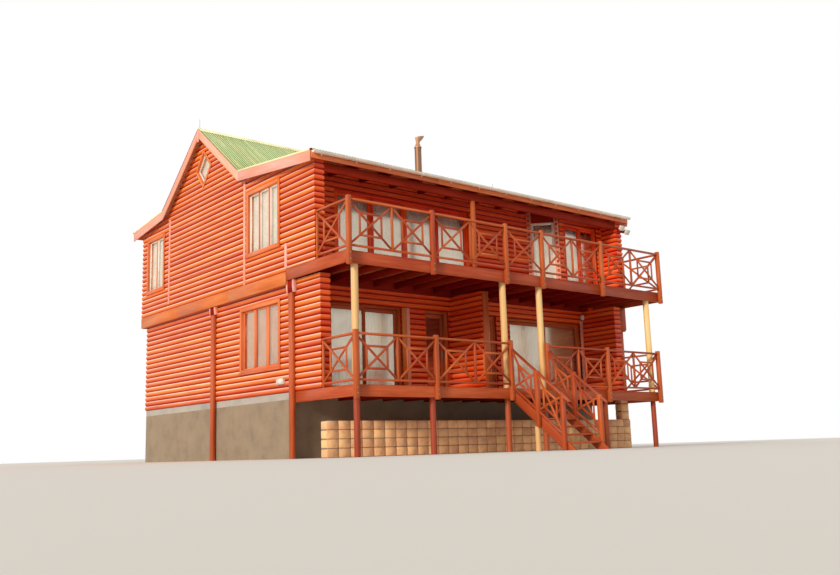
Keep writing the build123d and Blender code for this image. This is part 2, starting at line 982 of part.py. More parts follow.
def diamond(inset, mode=Mode.ADD):
    """Lozenge under the ridge, narrower than the casing by an inset on each side."""
    half_width = diamond_width / 2 - inset
    half_height = half_width * diamond_height / diamond_width
    with Locations((house_middle, diamond_middle)):
        Polygon(
            (half_width, 0),
            (0, half_height),
            (-half_width, 0),
            (0, -half_height),
            align=None,
            mode=mode,
        )


def upper_gable(low, high, clad_low):
    """Upper gable wall up to the underside of the roof, flat behind the belt board."""
    gable_wall(low, high, clad_low, belt_top, apex_height, rear_face, upper_deck_top)
    board(Plane.XY.offset(floor_bottom), (low, front_face), (high, rear_face), belt_top - floor_bottom)
    with BuildSketch(Plane.YZ.offset(low - wall)) as section:
        Polygon(*roof_band(front_eave_y, rear_eave_y, apex_height, -roof_drop), align=None)
    extrude(section.sketch, amount=3 * wall, mode=Mode.SUBTRACT)
    with BuildSketch(Plane.YZ.offset(low - wall)) as section:
        diamond(casing_lap)
    extrude(section.sketch, amount=3 * wall, mode=Mode.SUBTRACT)


with BuildPart() as upper_left_wall:
    upper_gable(left_face, left_face + wall, True)
    for plane, size, lights in left_upper_windows:
        window_hole(plane, *size, wall_through)
upper_left_wall.part.label = "upper_left_wall"
export_step(upper_left_wall.part, "parts/upper_left_wall.step")

with BuildPart() as upper_right_wall:
    upper_gable(right_face - wall, right_face, False)
    for plane, size, lights in right_upper_windows:
        window_hole(plane, *size, wall_through)
upper_right_wall.part.label = "upper_right_wall"
export_step(upper_right_wall.part, "parts/upper_right_wall.step")

with BuildPart() as upper_back_wall:
    cross_wall(
        rear_face - wall,
        rear_face,
        *upper_inside,
        belt_top,
        belt_top,
        knee_height,
        False,
        True,
    )
    board(
        Plane.XY.offset(floor_bottom),
        (upper_inside[0], rear_face - wall),
        (upper_inside[1], rear_face),
        belt_top - floor_bottom,
    )
    with BuildSketch(Plane.YZ.offset(left_face)):
        Polygon(*roof_band(back_knee_y, rear_eave_y, knee_height, -roof_drop), align=None)
    extrude(amount=upper_width, mode=Mode.SUBTRACT)
    for plane, size, lights in back_upper_windows:
        window_hole(plane, *size, wall_through)
upper_back_wall.part.label = "upper_back_wall"
export_step(upper_back_wall.part, "parts/upper_back_wall.step")

# Upright boards on the upper gables: one below each knee of the roof and a short one in front
batten_backs = (front_batten_back, rear_batten_back, 0)
batten_feet = (belt_top, belt_top + rear_batten_foot, upper_deck_top)
batten_heads = (knee_height - barge_depth, knee_height - barge_depth, upper_window_sill)
with BuildPart() as gable_boards:
    for crest, stand in ((left_crest, -batten_stand), (right_crest, batten_stand)):
        for back, foot, head in zip(batten_backs, batten_feet, batten_heads):
            low = front_face + back - batten_width / 2
            board(Plane.YZ.offset(crest), (low, foot), (low + batten_width, head), stand)
gable_boards.part.label = "gable_boards"
export_step(gable_boards.part, "parts/gable_boards.step")

# Boards over the floor line
belt_depth_out = log_bulge + belt_stand
with BuildPart() as side_belts:
    for x, side in ((left_face, -1), (right_face, 1)):
        plane = Plane.YZ.offset(x)
        board(plane, (front_face, belt_bottom), (rear_face, belt_top), side * belt_depth_out)
side_belts.part.label = "side_belts"
export_step(side_belts.part, "parts/side_belts.step")

with BuildPart() as back_belt:
    board(
        Plane(origin=(0, rear_face, 0), x_dir=(-1, 0, 0), z_dir=(0, 1, 0)),
        (left_face, belt_bottom),
        (right_face, belt_top),
        belt_depth_out,
    )
back_belt.part.label = "back_belt"
export_step(back_belt.part, "parts/back_belt.step")

# Windows of the gables and the back
with BuildPart() as window_frames:
    for plane, size, lights in windows:
        window_frame(plane, *size, lights, wall_through)
    for x, side in ((left_crest, -1), (right_crest, 1)):
        with BuildSketch(Plane.YZ.offset(x)):
            diamond(0)
            diamond(casing_lap + lining, mode=Mode.SUBTRACT)
        extrude(amount=side * casing_stand)
        with BuildSketch(Plane.YZ.offset(x)):
            diamond(casing_lap)
            diamond(casing_lap + lining, mode=Mode.SUBTRACT)
        extrude(amount=-side * wall_through)
window_frames.part.label = "window_frames"
export_step(window_frames.part, "parts/window_frames.step")

with BuildPart() as window_glass:
    for plane, size, lights in windows:
        window_panes(plane, *size, lights)
    for x, side in ((left_crest, 1), (right_crest, -1)):
        with BuildSketch(Plane.YZ.offset(x + side * sash_depth)):
            diamond(casing_lap + lining)
        extrude(amount=side * pane_thickness)
window_glass.part.label = "window_glass"
export_step(window_glass.part, "parts/window_glass.step")


def frame_ring(plane, width, height, depth, sill):
    """Jambs and head of a door set, with a sill if it has one."""
    with BuildSketch(plane) as section:
        with Locations((width / 2, height / 2)):
            Rectangle(width, height)
        with Locations((width / 2, (height - door_frame + sill) / 2)):
            Rectangle(width - 2 * door_frame, height - door_frame - sill, mode=Mode.SUBTRACT)
    extrude(section.sketch, amount=-depth)


def leaf_frame(plane, low, high, bottom, top, rail):
    """Stiles and rails of one leaf round its glass."""
    with BuildSketch(plane) as section:
        with Locations(((low + high) / 2, (bottom + top) / 2)):
            Rectangle(high - low, top - bottom)
        with Locations(((low + high) / 2, (bottom + rail + top - leaf_stile) / 2)):
            Rectangle(
                high - low - 2 * leaf_stile,
                top - bottom - rail - leaf_stile,
                mode=Mode.SUBTRACT,
            )
    extrude(section.sketch, amount=-leaf_thickness)


def leaf_pane(plane, low, high, bottom, top, rail):
    """Glass of one leaf, in the middle of its thickness."""
    board(
        plane.offset(-(leaf_thickness - pane_thickness) / 2),
        (low + leaf_stile, bottom + rail),
        (high - leaf_stile, top - leaf_stile),
        -pane_thickness,
    )


door_y = front_face + (wall - door_frame_depth) / 2
outer_leaf_y = door_y + leaf_setback
inner_leaf_y = outer_leaf_y + leaf_thickness + track_gap
upper_height = upper_door_head - upper_deck_top
lower_height = lower_door_head - lower_deck_top
upper_set = front_plane(upper_openings[0][0], door_y, upper_deck_top)
upper_leaves = front_plane(upper_openings[0][0], outer_leaf_y, upper_deck_top)
leaf_span = (upper_doors_width - 2 * door_frame) / upper_door_panels
upper_leaf_edges = [
    (door_frame + n * leaf_span, door_frame + (n + 1) * leaf_span)
    for n in range(upper_door_panels)
]
bay_door_low = bay_corner + bay_door_inset
bay_door_y = bay_face + bay_door_setback
bay_height = bay_head - upper_deck_top
bay_leaf_edges = [
    (door_frame, bay_door_width / 2),
    (bay_door_width / 2, bay_door_width - door_frame),
]
cant_length = bay_projection * math.sqrt(2)
cant_width = cant_length - 2 * cant_margin
cant_glass_width = cant_width - 2 * door_frame
cant_glass_height = bay_height - cant_sill - 2 * door_frame
cant_middle = (cant_length / 2, (cant_sill + bay_height) / 2)
cant_plane = Plane(
    origin=(bay_left, front_face, upper_deck_top),
    x_dir=(1, -1, 0),
    z_dir=(-1, -1, 0),
)

# Balcony doors: a set of four leaves, the pair in the bay, and the canted light
with BuildPart() as upper_door_frames:
    frame_ring(upper_set, upper_doors_width, upper_height, door_frame_depth, 0)
    for low, high in upper_leaf_edges:
        leaf_frame(upper_leaves, low, high, 0, upper_height - door_frame, upper_bottom_rail)
    bay_set = front_plane(bay_door_low, bay_door_y, upper_deck_top)
    bay_leaves = bay_set.offset(-leaf_setback)
    frame_ring(bay_set, bay_door_width, bay_height, bay_frame_depth, 0)
    for low, high in bay_leaf_edges:
        leaf_frame(bay_leaves, low, high, 0, bay_height - door_frame, upper_bottom_rail)
    with BuildSketch(cant_plane.offset(-leaf_setback)):
        with Locations(cant_middle):
            Rectangle(cant_width, bay_height - cant_sill)
            Rectangle(cant_glass_width, cant_glass_height, mode=Mode.SUBTRACT)
    extrude(amount=-leaf_thickness)
upper_door_frames.part.label = "upper_door_frames"
export_step(upper_door_frames.part, "parts/upper_door_frames.step")

with BuildPart() as upper_door_glass:
    for low, high in upper_leaf_edges:
        leaf_pane(upper_leaves, low, high, 0, upper_height - door_frame, upper_bottom_rail)
    for low, high in bay_leaf_edges:
        leaf_pane(bay_leaves, low, high, 0, bay_height - door_frame, upper_bottom_rail)
    with BuildSketch(cant_plane.offset(-cant_pane_setback)):
        with Locations(cant_middle):
            Rectangle(cant_glass_width, cant_glass_height)
    extrude(amount=-pane_thickness)
upper_door_glass.part.label = "upper_door_glass"
export_step(upper_door_glass.part, "parts/upper_door_glass.step")

# Walls of the canted bay, with a light in the cant and a doorway in the front
with BuildPart() as bay_walls:
    cant_back = bay_wall * math.sqrt(2)
    corner_back = bay_wall * (math.sqrt(2) - 1)
    bay_right = upper_inside[1] - log_bulge
    with BuildSketch(Plane.XY.offset(upper_deck_top)):
        Polygon(
            (bay_left, front_face),
            (bay_corner, bay_face),
            (bay_right, bay_face),
            (bay_right, bay_face + bay_wall),
            (bay_corner + corner_back, bay_face + bay_wall),
            (bay_left + cant_back, front_face),
            (bay_left + cant_back, front_face + wall),
            (bay_left, front_face + wall),
            align=None,
        )
    extrude(amount=upper_height)
    with BuildSketch(Plane.XY.offset(upper_door_head)):
        Polygon(
            (bay_left, front_crest),
            (bay_left + log_bulge, front_crest),
            (bay_corner, bay_face),
            (bay_right, bay_face),
            (bay_right, bay_face + bay_wall),
            (bay_corner + corner_back, bay_face + bay_wall),
            (bay_left + cant_back + log_bulge, front_crest),
            align=None,
        )
    extrude(amount=knee_height - upper_door_head)
    with BuildSketch(Plane.YZ.offset(left_face)):
        Polygon(*roof_band(front_eave_y, knee_y, knee_height, -roof_drop), align=None)
    extrude(amount=upper_width, mode=Mode.SUBTRACT)
    board(
        front_plane(bay_door_low, bay_face - cut_allowance, upper_deck_top),
        (0, 0),
        (bay_door_width, bay_height),
        -bay_wall - 2 * cut_allowance,
        mode=Mode.SUBTRACT,
    )
    board(
        cant_plane.offset(cut_allowance),
        (cant_margin, cant_sill),
        (cant_length - cant_margin, bay_height),
        -bay_wall - 2 * cut_allowance,
        mode=Mode.SUBTRACT,
    )
bay_walls.part.label = "bay_walls"
export_step(bay_walls.part, "parts/bay_walls.step")

# Door sets of the lower storey
leaf_top = lower_height - door_frame
set_widths = (left_slider_width, right_slider_width)
slider_lows = (lower_openings[0][0], lower_openings[3][0])


def slider_edges(width):
    """Inner edges of the jambs and the overlap of the two leaves, from the left jamb."""
    middle = width / 2
    return door_frame, middle + leaf_stile / 2, middle - leaf_stile / 2, width - door_frame


with BuildPart() as lower_door_frames:
    for index, (low, width) in enumerate(zip(slider_lows, set_widths)):
        set_plane = front_plane(low, door_y, lower_deck_top)
        frame_ring(set_plane, width, lower_height, door_frame_depth, sill_height)
        edges = slider_edges(width)
        fixed = (edges[0], edges[1]) if index == 0 else (edges[2], edges[3])
        leaf_frame(set_plane.offset(-leaf_setback), *fixed, sill_height, leaf_top, bottom_rail)
    for low, high in lower_openings[1:3]:
        frame_ring(front_plane(low, door_y, lower_deck_top), high - low, lower_height, door_frame_depth, 0)
    light_low, light_high = lower_openings[2]
    leaf_frame(
        front_plane(light_low, outer_leaf_y, lower_deck_top),
        door_frame,
        light_high - light_low - door_frame,
        0,
        leaf_top,
        bottom_rail,
    )
    hinge_x = lower_openings[1][0] + door_frame + door_clearance / 2
    hinge_y = door_y + door_frame_depth + hinge_diameter / 2 + runner_gap
    hinge_heights = [lower_deck_top + level for level in hinge_levels]
    hinge_plate = (hinge_plate_width, hinge_plate_thickness + 2 * runner_gap)
    plate_y = hinge_y - hinge_diameter / 2 + hinge_plate_thickness / 2
    for h in hinge_heights:
        with BuildSketch(Plane.XY.offset(h)):
            with Locations((hinge_x, hinge_y)):
                RegularPolygon(hinge_diameter / 2, hinge_sides)
            with Locations((hinge_x - hinge_plate_width / 2, plate_y)):
                Rectangle(*hinge_plate)
        extrude(amount=hinge_length / 2)
lower_door_frames.part.label = "lower_door_frames"
export_step(lower_door_frames.part, "parts/lower_door_frames.step")

with BuildPart() as fixed_door_glass:
    for index, (low, width) in enumerate(zip(slider_lows, set_widths)):
        edges = slider_edges(width)
        fixed = (edges[0], edges[1]) if index == 0 else (edges[2], edges[3])
        fixed_plane = front_plane(low, outer_leaf_y, lower_deck_top)
        leaf_pane(fixed_plane, *fixed, sill_height, leaf_top, bottom_rail)
    leaf_pane(
        front_plane(light_low, outer_leaf_y, lower_deck_top),
        door_frame,
        light_high - light_low - door_frame,
        0,
        leaf_top,
        bottom_rail,
    )
fixed_door_glass.part.label = "fixed_door_glass"
export_step(fixed_door_glass.part, "parts/fixed_door_glass.step")


def sliding_span(index):
    """Edges of a sliding leaf at rest, clear of the jamb it closes against."""
    edges = slider_edges(set_widths[index])
    if index == 0:
        return edges[2], edges[3] - door_clearance
    return edges[0] + door_clearance, edges[1]


def sliding_leaf(index):
    """A leaf in the inner track, on two rollers."""
    low, high = sliding_span(index)
    plane = front_plane(slider_lows[index], inner_leaf_y, lower_deck_top)
    foot, head = sill_height + door_clearance, leaf_top - door_clearance
    leaf_frame(plane, low, high, foot, head, bottom_rail)
    roller_height = sill_height + runner_gap + runner_diameter / 2
    with BuildSketch(plane.offset((runner_thickness - leaf_thickness) / 2)) as section:
        for x in (low + 2 * leaf_stile, high - 2 * leaf_stile):
            with Locations((x, roller_height)):
                Circle(runner_diameter / 2)
    extrude(section.sketch, amount=-runner_thickness)


with BuildPart() as left_slider:
    sliding_leaf(0)
left_slider.part.label = "left_slider"
export_step(left_slider.part, "parts/left_slider.step")

with BuildPart() as left_slider_glass:
    leaf_pane(
        front_plane(slider_lows[0], inner_leaf_y, lower_deck_top),
        *sliding_span(0),
        sill_height + door_clearance,
        leaf_top - door_clearance,
        bottom_rail,
    )
left_slider_glass.part.label = "left_slider_glass"
export_step(left_slider_glass.part, "parts/left_slider_glass.step")

with BuildPart() as right_slider:
    sliding_leaf(1)
right_slider.part.label = "right_slider"
export_step(right_slider.part, "parts/right_slider.step")

with BuildPart() as right_slider_glass:
    leaf_pane(
        front_plane(slider_lows[1], inner_leaf_y, lower_deck_top),
        *sliding_span(1),
        sill_height + door_clearance,
        leaf_top - door_clearance,
        bottom_rail,
    )
right_slider_glass.part.label = "right_slider_glass"
export_step(right_slider_glass.part, "parts/right_slider_glass.step")

# Hinged garden door: it swings into the room on three hinges
narrow_plane = front_plane(
    lower_openings[1][0],
    door_y + door_frame_depth - leaf_thickness,
    lower_deck_top,
)
narrow_span = (door_frame + door_clearance, narrow_door_width - door_frame - door_clearance)
with BuildPart() as garden_door:
    leaf_frame(narrow_plane, *narrow_span, door_clearance, leaf_top - door_clearance, bottom_rail)
    for h in hinge_heights:
        with BuildSketch(Plane.XY.offset(h + hinge_length / 2 + runner_gap)):
            with Locations((hinge_x, hinge_y)):
                RegularPolygon(hinge_diameter / 2, hinge_sides)
            with Locations((hinge_x + hinge_plate_width / 2, plate_y)):
                Rectangle(*hinge_plate)
        extrude(amount=hinge_length / 2)
garden_door.part.label = "garden_door"
export_step(garden_door.part, "parts/garden_door.step")

with BuildPart() as garden_door_glass:
    leaf_pane(narrow_plane, *narrow_span, door_clearance, leaf_top - door_clearance, bottom_rail)
garden_door_glass.part.label = "garden_door_glass"
export_step(garden_door_glass.part, "parts/garden_door_glass.step")


def corbel(x, side, reach, y):
    """Beam end with a bevelled foot, under the overhang of a gable, and the post below it."""
    plane = Plane(origin=(0, y - corbel_width / 2, 0), x_dir=(1, 0, 0), z_dir=(0, -1, 0))
    with BuildSketch(plane) as section:
        Polygon(
            (x, floor_bottom),
            (x + side * reach, floor_bottom),
            (x + side * reach, floor_bottom - corbel_height / 2),
            (x + side * corbel_post_depth, floor_bottom - corbel_height),
            (x, floor_bottom - corbel_height),
            align=None,
        )
    extrude(section.sketch, amount=-corbel_width)
    board(
        Plane.XY,
        (min(x, x + side * corbel_post_depth), y - corbel_post_width / 2),
        (max(x, x + side * corbel_post_depth), y + corbel_post_width / 2),
        floor_bottom - corbel_height / 2,
    )


# Beam ends that carry the overhang of the upper gables, with a boxed one at the right wing
with BuildPart() as corbels:
    corbel(lower_deck_left, -1, left_overhang - log_bulge, front_face - corbel_forward)
    corbel(lower_deck_left, -1, left_overhang - log_bulge, front_face + middle_corbel_back)
    corbel(lower_deck_right, 1, right_overhang - log_bulge, front_face + middle_corbel_back)
    box_bottom = floor_bottom - corbel_box_courses * log_course - corbel_box_depth
    with BuildSketch(Plane.XZ.offset(-wing_face)):
        Polygon(
            (lower_deck_right, box_bottom),
            (right_face - corbel_box_bevel, box_bottom),
            (right_face, box_bottom + corbel_box_bevel),
            (right_face, floor_bottom),
            (lower_deck_right, floor_bottom),
            align=None,
        )
    extrude(amount=-corbel_width)
    post_left = (lower_deck_right + right_face - corbel_post_width) / 2
    board(
        Plane.XY,
        (post_left, wing_face + (corbel_width - corbel_post_width) / 2),
        (post_left + corbel_post_width, wing_face + (corbel_width + corbel_post_width) / 2),
        box_bottom,
    )
corbels.part.label = "corbels"
export_step(corbels.part, "parts/corbels.step")


def roof_slope(start, end):
    """A slope of the roof, from rake to rake."""
    with BuildSketch(Plane.YZ.offset(roof_left)) as section:
        Polygon(*roof_band(start, end, 0, -roof_drop), align=None)
    extrude(section.sketch, amount=roof_right - roof_left)


# Roof: two shallow slopes below two steep ones
flue_place = (left_crest + flue_from_left, front_face + flue_from_front)
with BuildPart() as front_lean:
    roof_slope(front_eave_y, knee_y)
    with BuildSketch(Plane.XY.offset(front_eave_height - storey_height)):
        with Locations(flue_place):
            RegularPolygon(flue_diameter / 2, flue_sides)
    extrude(amount=2 * storey_height, mode=Mode.SUBTRACT)
front_lean.part.label = "front_lean"
export_step(front_lean.part, "parts/front_lean.step")

with BuildPart() as front_pitch:
    roof_slope(knee_y, house_middle)
front_pitch.part.label = "front_pitch"
export_step(front_pitch.part, "parts/front_pitch.step")

with BuildPart() as back_pitch:
    roof_slope(house_middle, back_knee_y)
back_pitch.part.label = "back_pitch"
export_step(back_pitch.part, "parts/back_pitch.step")

with BuildPart() as back_lean:
    roof_slope(back_knee_y, rear_eave_y)
back_lean.part.label = "back_lean"
export_step(back_lean.part, "parts/back_lean.step")

with BuildPart() as barge_boards:
    for x, side in ((roof_left, -1), (roof_right, 1)):
        with BuildSketch(Plane.YZ.offset(x)):
            Polygon(
                *roof_band(front_eave_y, rear_eave_y, 0, -barge_depth),
                align=None,
            )
        extrude(amount=side * barge_thickness)
barge_boards.part.label = "barge_boards"
export_step(barge_boards.part, "parts/barge_boards.step")

# Ridge capping with a rod at each end
with BuildPart() as ridge_cap:
    with BuildSketch(Plane.YZ.offset(roof_left)):
        Polygon(
            *roof_band(house_middle - ridge_leg, house_middle + ridge_leg, ridge_cap_thickness, 0),
            align=None,
        )
    extrude(amount=roof_right - roof_left)
    with BuildSketch(Plane.XY.offset(apex_height)):
        for x in (roof_left + finial_side, roof_right - finial_side):
            with Locations((x, house_middle)):
                Rectangle(finial_side, finial_side)
    extrude(amount=finial_height)
ridge_cap.part.label = "ridge_cap"
export_step(ridge_cap.part, "parts/ridge_cap.step")

# Eaves: boards across the rafter ends, with half-round gutters
with BuildPart() as fascias:
    for y, side in ((front_eave_y, -1), (rear_eave_y, 1)):
        top = roof_height(y)
        plane = Plane(origin=(0, y, 0), x_dir=(-side, 0, 0), z_dir=(0, side, 0))
        board(plane, (roof_left, top - fascia_depth), (roof_right, top), barge_thickness)
fascias.part.label = "fascias"
export_step(fascias.part, "parts/fascias.step")

with BuildPart() as gutters:
    for y, side in ((front_eave_y, -1), (rear_eave_y, 1)):
        middle = (y + side * (barge_thickness + gutter_radius), roof_height(y) - gutter_drop)
        for inner, start, length in (
            (gutter_radius - gutter_wall, roof_left, roof_right - roof_left),
            (0, roof_left, gutter_wall),
            (0, roof_right - gutter_wall, gutter_wall),
        ):
            with BuildSketch(Plane.YZ.offset(start)):
                with Locations(middle):
                    Circle(gutter_radius)
                    if inner:
                        Circle(inner, mode=Mode.SUBTRACT)
                with Locations((middle[0], middle[1] + gutter_radius)):
                    Rectangle(2 * gutter_radius, 2 * gutter_radius, mode=Mode.SUBTRACT)
            extrude(amount=length)
gutters.part.label = "gutters"
export_step(gutters.part, "parts/gutters.step")

# Beam and post that carry the roof over the balcony
beam_start = wing_crest + eave_beam_setback
beam_end = beam_start + eave_beam_width
beam_top = -roof_drop - rafter_depth
beam_bottom = beam_top - eave_beam_depth
with BuildPart() as eave_beam:
    with BuildSketch(Plane.YZ.offset(upper_inside[0] + log_bulge)):
        Polygon(*roof_band(beam_start, beam_end, beam_top, beam_bottom), align=None)
    extrude(amount=upper_inside[1] - upper_inside[0] - 2 * log_bulge)
    with BuildSketch(Plane.XY.offset(upper_deck_top)):
        with Locations((left_crest + eave_post_from_left, (beam_start + beam_end) / 2)):
            Rectangle(eave_post, eave_beam_width)
    extrude(amount=roof_height(beam_start) + beam_bottom + eave_post_tenon - upper_deck_top)
eave_beam.part.label = "eave_beam"
export_step(eave_beam.part, "parts/eave_beam.step")


def rafter_end(x):
    """Where a rafter meets the house: the front wall, or the bay further out."""
    into_bay = min(max(x + rafter_width / 2 - bay_left, 0), bay_projection)
    return min(front_crest, front_face - into_bay)


with BuildPart() as rafters:
    clear_width = upper_inside[1] - upper_inside[0] - 2 * log_bulge
    rafter_count = round(clear_width / rafter_spacing)
    for n in range(1, rafter_count):
        x = upper_inside[0] + log_bulge + n * clear_width / rafter_count
        with BuildSketch(Plane.YZ.offset(x - rafter_width / 2)):
            Polygon(*roof_band(front_eave_y, rafter_end(x), -roof_drop, beam_top), align=None)
        extrude(amount=rafter_width)
rafters.part.label = "rafters"
export_step(rafters.part, "parts/rafters.step")

# Flue through the shallow front slope
with BuildPart() as flue:
    roof_here = roof_height(flue_place[1])
    with BuildSketch(Plane.XY.offset(roof_here - flue_tail)):
        with Locations(flue_place):
            RegularPolygon(flue_diameter / 2, flue_sides)
            RegularPolygon(flue_diameter / 2 - flue_wall, flue_sides, mode=Mode.SUBTRACT)
    extrude(amount=flue_top - roof_here + flue_tail)
flue.part.label = "flue"
export_step(flue.part, "parts/flue.step")

# Cowl: a collar, a neck and a scoop that opens away from the wind
def flue_ring(height, diameter):
    """A ring of the cowl, level and centred on the flue."""
    with BuildSketch(Plane.XY.offset(flue_top + height)) as ring:
        with Locations(flue_place):
            RegularPolygon(diameter / 2, flue_sides)
    return ring.sketch


with BuildPart() as flue_cowl:
    extrude(flue_ring(0, flue_diameter + 2 * cowl_collar_stand), amount=cowl_collar)
    neck = flue_ring(cowl_neck_height, cowl_neck)
    loft([flue_ring(cowl_collar, flue_diameter), neck], ruled=True)
    lean = math.tan(math.radians(cowl_tilt))
    mouth_plane = Plane(
        origin=(flue_place[0] + cowl_reach, flue_place[1], flue_top + cowl_height - cowl_mouth_drop),
        x_dir=(1, 0, lean),
        z_dir=(-lean, 0, 1),
    )
    turns = [2 * math.pi * n / flue_sides for n in range(flue_sides)]
    with BuildSketch(mouth_plane) as mouth:
        Polygon(
            *[(cowl_spread / 2 * math.cos(t), flue_diameter / 2 * math.sin(t)) for t in turns],
            align=None,
        )
    loft([neck, mouth.sketch], ruled=True)
flue_cowl.part.label = "flue_cowl"
export_step(flue_cowl.part, "parts/flue_cowl.step")
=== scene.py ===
"""Looks of the holiday cottage: logs, timbers, sheets, finishes, stage and camera.

Metres, +Z up, in the frame of the construction model: X runs along the garden front,
Y from the garden to the back, and the origin is on the ground under the front wall.
"""
import math

import bpy
import numpy as np
from bpy.props import FloatProperty, FloatVectorProperty, PointerProperty
from mathutils import Matrix, Vector


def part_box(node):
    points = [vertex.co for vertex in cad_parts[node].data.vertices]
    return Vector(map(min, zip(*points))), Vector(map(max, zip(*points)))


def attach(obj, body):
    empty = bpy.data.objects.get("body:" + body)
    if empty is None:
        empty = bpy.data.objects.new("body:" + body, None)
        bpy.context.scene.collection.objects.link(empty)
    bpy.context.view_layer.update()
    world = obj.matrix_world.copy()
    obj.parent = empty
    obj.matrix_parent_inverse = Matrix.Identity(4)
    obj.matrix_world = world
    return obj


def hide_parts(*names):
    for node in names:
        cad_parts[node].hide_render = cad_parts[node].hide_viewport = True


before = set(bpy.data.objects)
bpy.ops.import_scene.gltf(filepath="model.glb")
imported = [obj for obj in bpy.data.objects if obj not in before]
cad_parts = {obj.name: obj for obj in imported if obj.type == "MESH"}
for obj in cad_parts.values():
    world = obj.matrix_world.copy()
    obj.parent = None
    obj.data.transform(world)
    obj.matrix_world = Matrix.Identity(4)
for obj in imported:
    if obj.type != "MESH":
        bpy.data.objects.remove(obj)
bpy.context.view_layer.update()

bl_info = {
    "name": "Holiday cottage looks",
    "version": (1, 0, 0),
    "blender": (4, 5, 0),
    "location": "View3D > Sidebar > Cottage",
    "description": "Dresses the construction model of a two-storey timber cottage",
    "category": "Object",
}

random = np.random.default_rng(11)

# Largest shift of a member's place in the noise that grains it
grain_shift = 40

UP = np.array([0.0, 0.0, 1.0])
RIGHT = np.array([1.0, 0.0, 0.0])
BACK = np.array([0.0, 1.0, 0.0])

# Levels and faces that the pieces share, read from the construction model
deck_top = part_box("lower_deck")[1].z
balcony_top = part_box("upper_deck")[1].z
deck_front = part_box("upper_deck")[0].y
floor_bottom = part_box("lower_left_wall")[1].z
belt_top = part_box("side_belts")[1].z
belt_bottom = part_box("side_belts")[0].z
wall = 0.2
bulge = 0.028
log_seat = 0.02
front_face = -wall / 2
front_crest = front_face - bulge
wing_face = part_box("lower_left_wall")[0].y + bulge
upper_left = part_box("upper_left_wall")[0].x + bulge
upper_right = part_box("upper_right_wall")[1].x - bulge
lower_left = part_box("lower_left_wall")[0].x + bulge
lower_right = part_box("lower_right_wall")[1].x - bulge
upper_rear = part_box("upper_back_wall")[1].y - bulge
lower_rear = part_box("lower_back_wall")[1].y - bulge
left_crest = upper_left - bulge
right_crest = upper_right + bulge
lower_deck_left = lower_left - bulge
lower_deck_right = lower_right + bulge
door_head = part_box("lower_front_wall")[1].z
balcony_door_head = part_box("upper_front_wall")[1].z

# Roof line, from the front eave to the back one
roof_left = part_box("front_lean")[0].x
roof_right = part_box("front_lean")[1].x
knee_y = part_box("front_pitch")[0].y
ridge_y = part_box("front_pitch")[1].y
back_knee_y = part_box("back_pitch")[1].y
knee_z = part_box("front_lean")[1].z
ridge_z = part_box("front_pitch")[1].z
front_eave_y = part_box("front_lean")[0].y
rear_eave_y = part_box("back_lean")[1].y
roof_thickness = 0.055
sheet_pitch = 0.076
sheet_wave = 0.009
sheet_reach = 0.028
flue_radius = 0.09
gutter_radius = 0.054
gutter_reach = 0.096
gutter_drop = 0.025
lean_slope = math.tan(math.radians(6.5))
roof_ys = np.array([front_eave_y, knee_y, ridge_y, back_knee_y, rear_eave_y])
roof_zs = np.array([
    knee_z - (knee_y - front_eave_y) * lean_slope,
    knee_z,
    ridge_z,
    knee_z,
    knee_z - (rear_eave_y - back_knee_y) * lean_slope,
])

# Decks, rails and posts
deck_fascia = 0.235
balcony_fascia = 0.26
fascia_board = 0.04
floor_board = 0.03
board_gap = 0.005
board_pitch = 0.103
joist_pitch = 0.6
joist_width = 0.05
joist_height = 0.15
thick_post = 0.095
thin_post = 0.045
rail_width = 0.075
rail_height = 0.045
bar_width = 0.045
bar_depth = 0.03
wide_bay = 2.19
left_corner = left_crest + thick_post / 2
right_corner = right_crest - thick_post / 2
stair_left = left_corner + 2 * wide_bay + 0.02
stair_right = stair_left + 1.21
lower_rail = 1.025
upper_rail = 1.065
stair_rail = 0.96
bottom_gap = 0.09
post_y = deck_front - thick_post / 2
pole_y = deck_front + 0.125
pole_radius = 0.0775
short_post_radius = 0.065


def roof_at(y):
    """Height of the roof line at a distance from the front."""
    return np.interp(y, roof_ys, roof_zs)


def at(x, y, z):
    """Points from their coordinates, each one a number or an array."""
    return np.stack(np.broadcast_arrays(*(np.asarray(v, float) for v in (x, y, z))), axis=-1)


def unit(v):
    """Vectors scaled to length one, along the last axis."""
    v = np.asarray(v, float)
    return v / np.linalg.norm(v, axis=-1, keepdims=True)


def tube_faces(size, rings, members=1):
    """Faces of closed tubes: quads between neighbouring rings of points, and the two ends."""
    i = np.arange(size)
    j = (i + 1) % size
    base = size * rings * np.arange(members)[:, None]
    quad = np.stack([i, j, j + size, i + size], axis=1)
    quads = [(base[..., None] + quad + size * ring).reshape(-1, 4) for ring in range(rings - 1)]
    return [*quads, base + i[::-1], base + i + size * (rings - 1)]


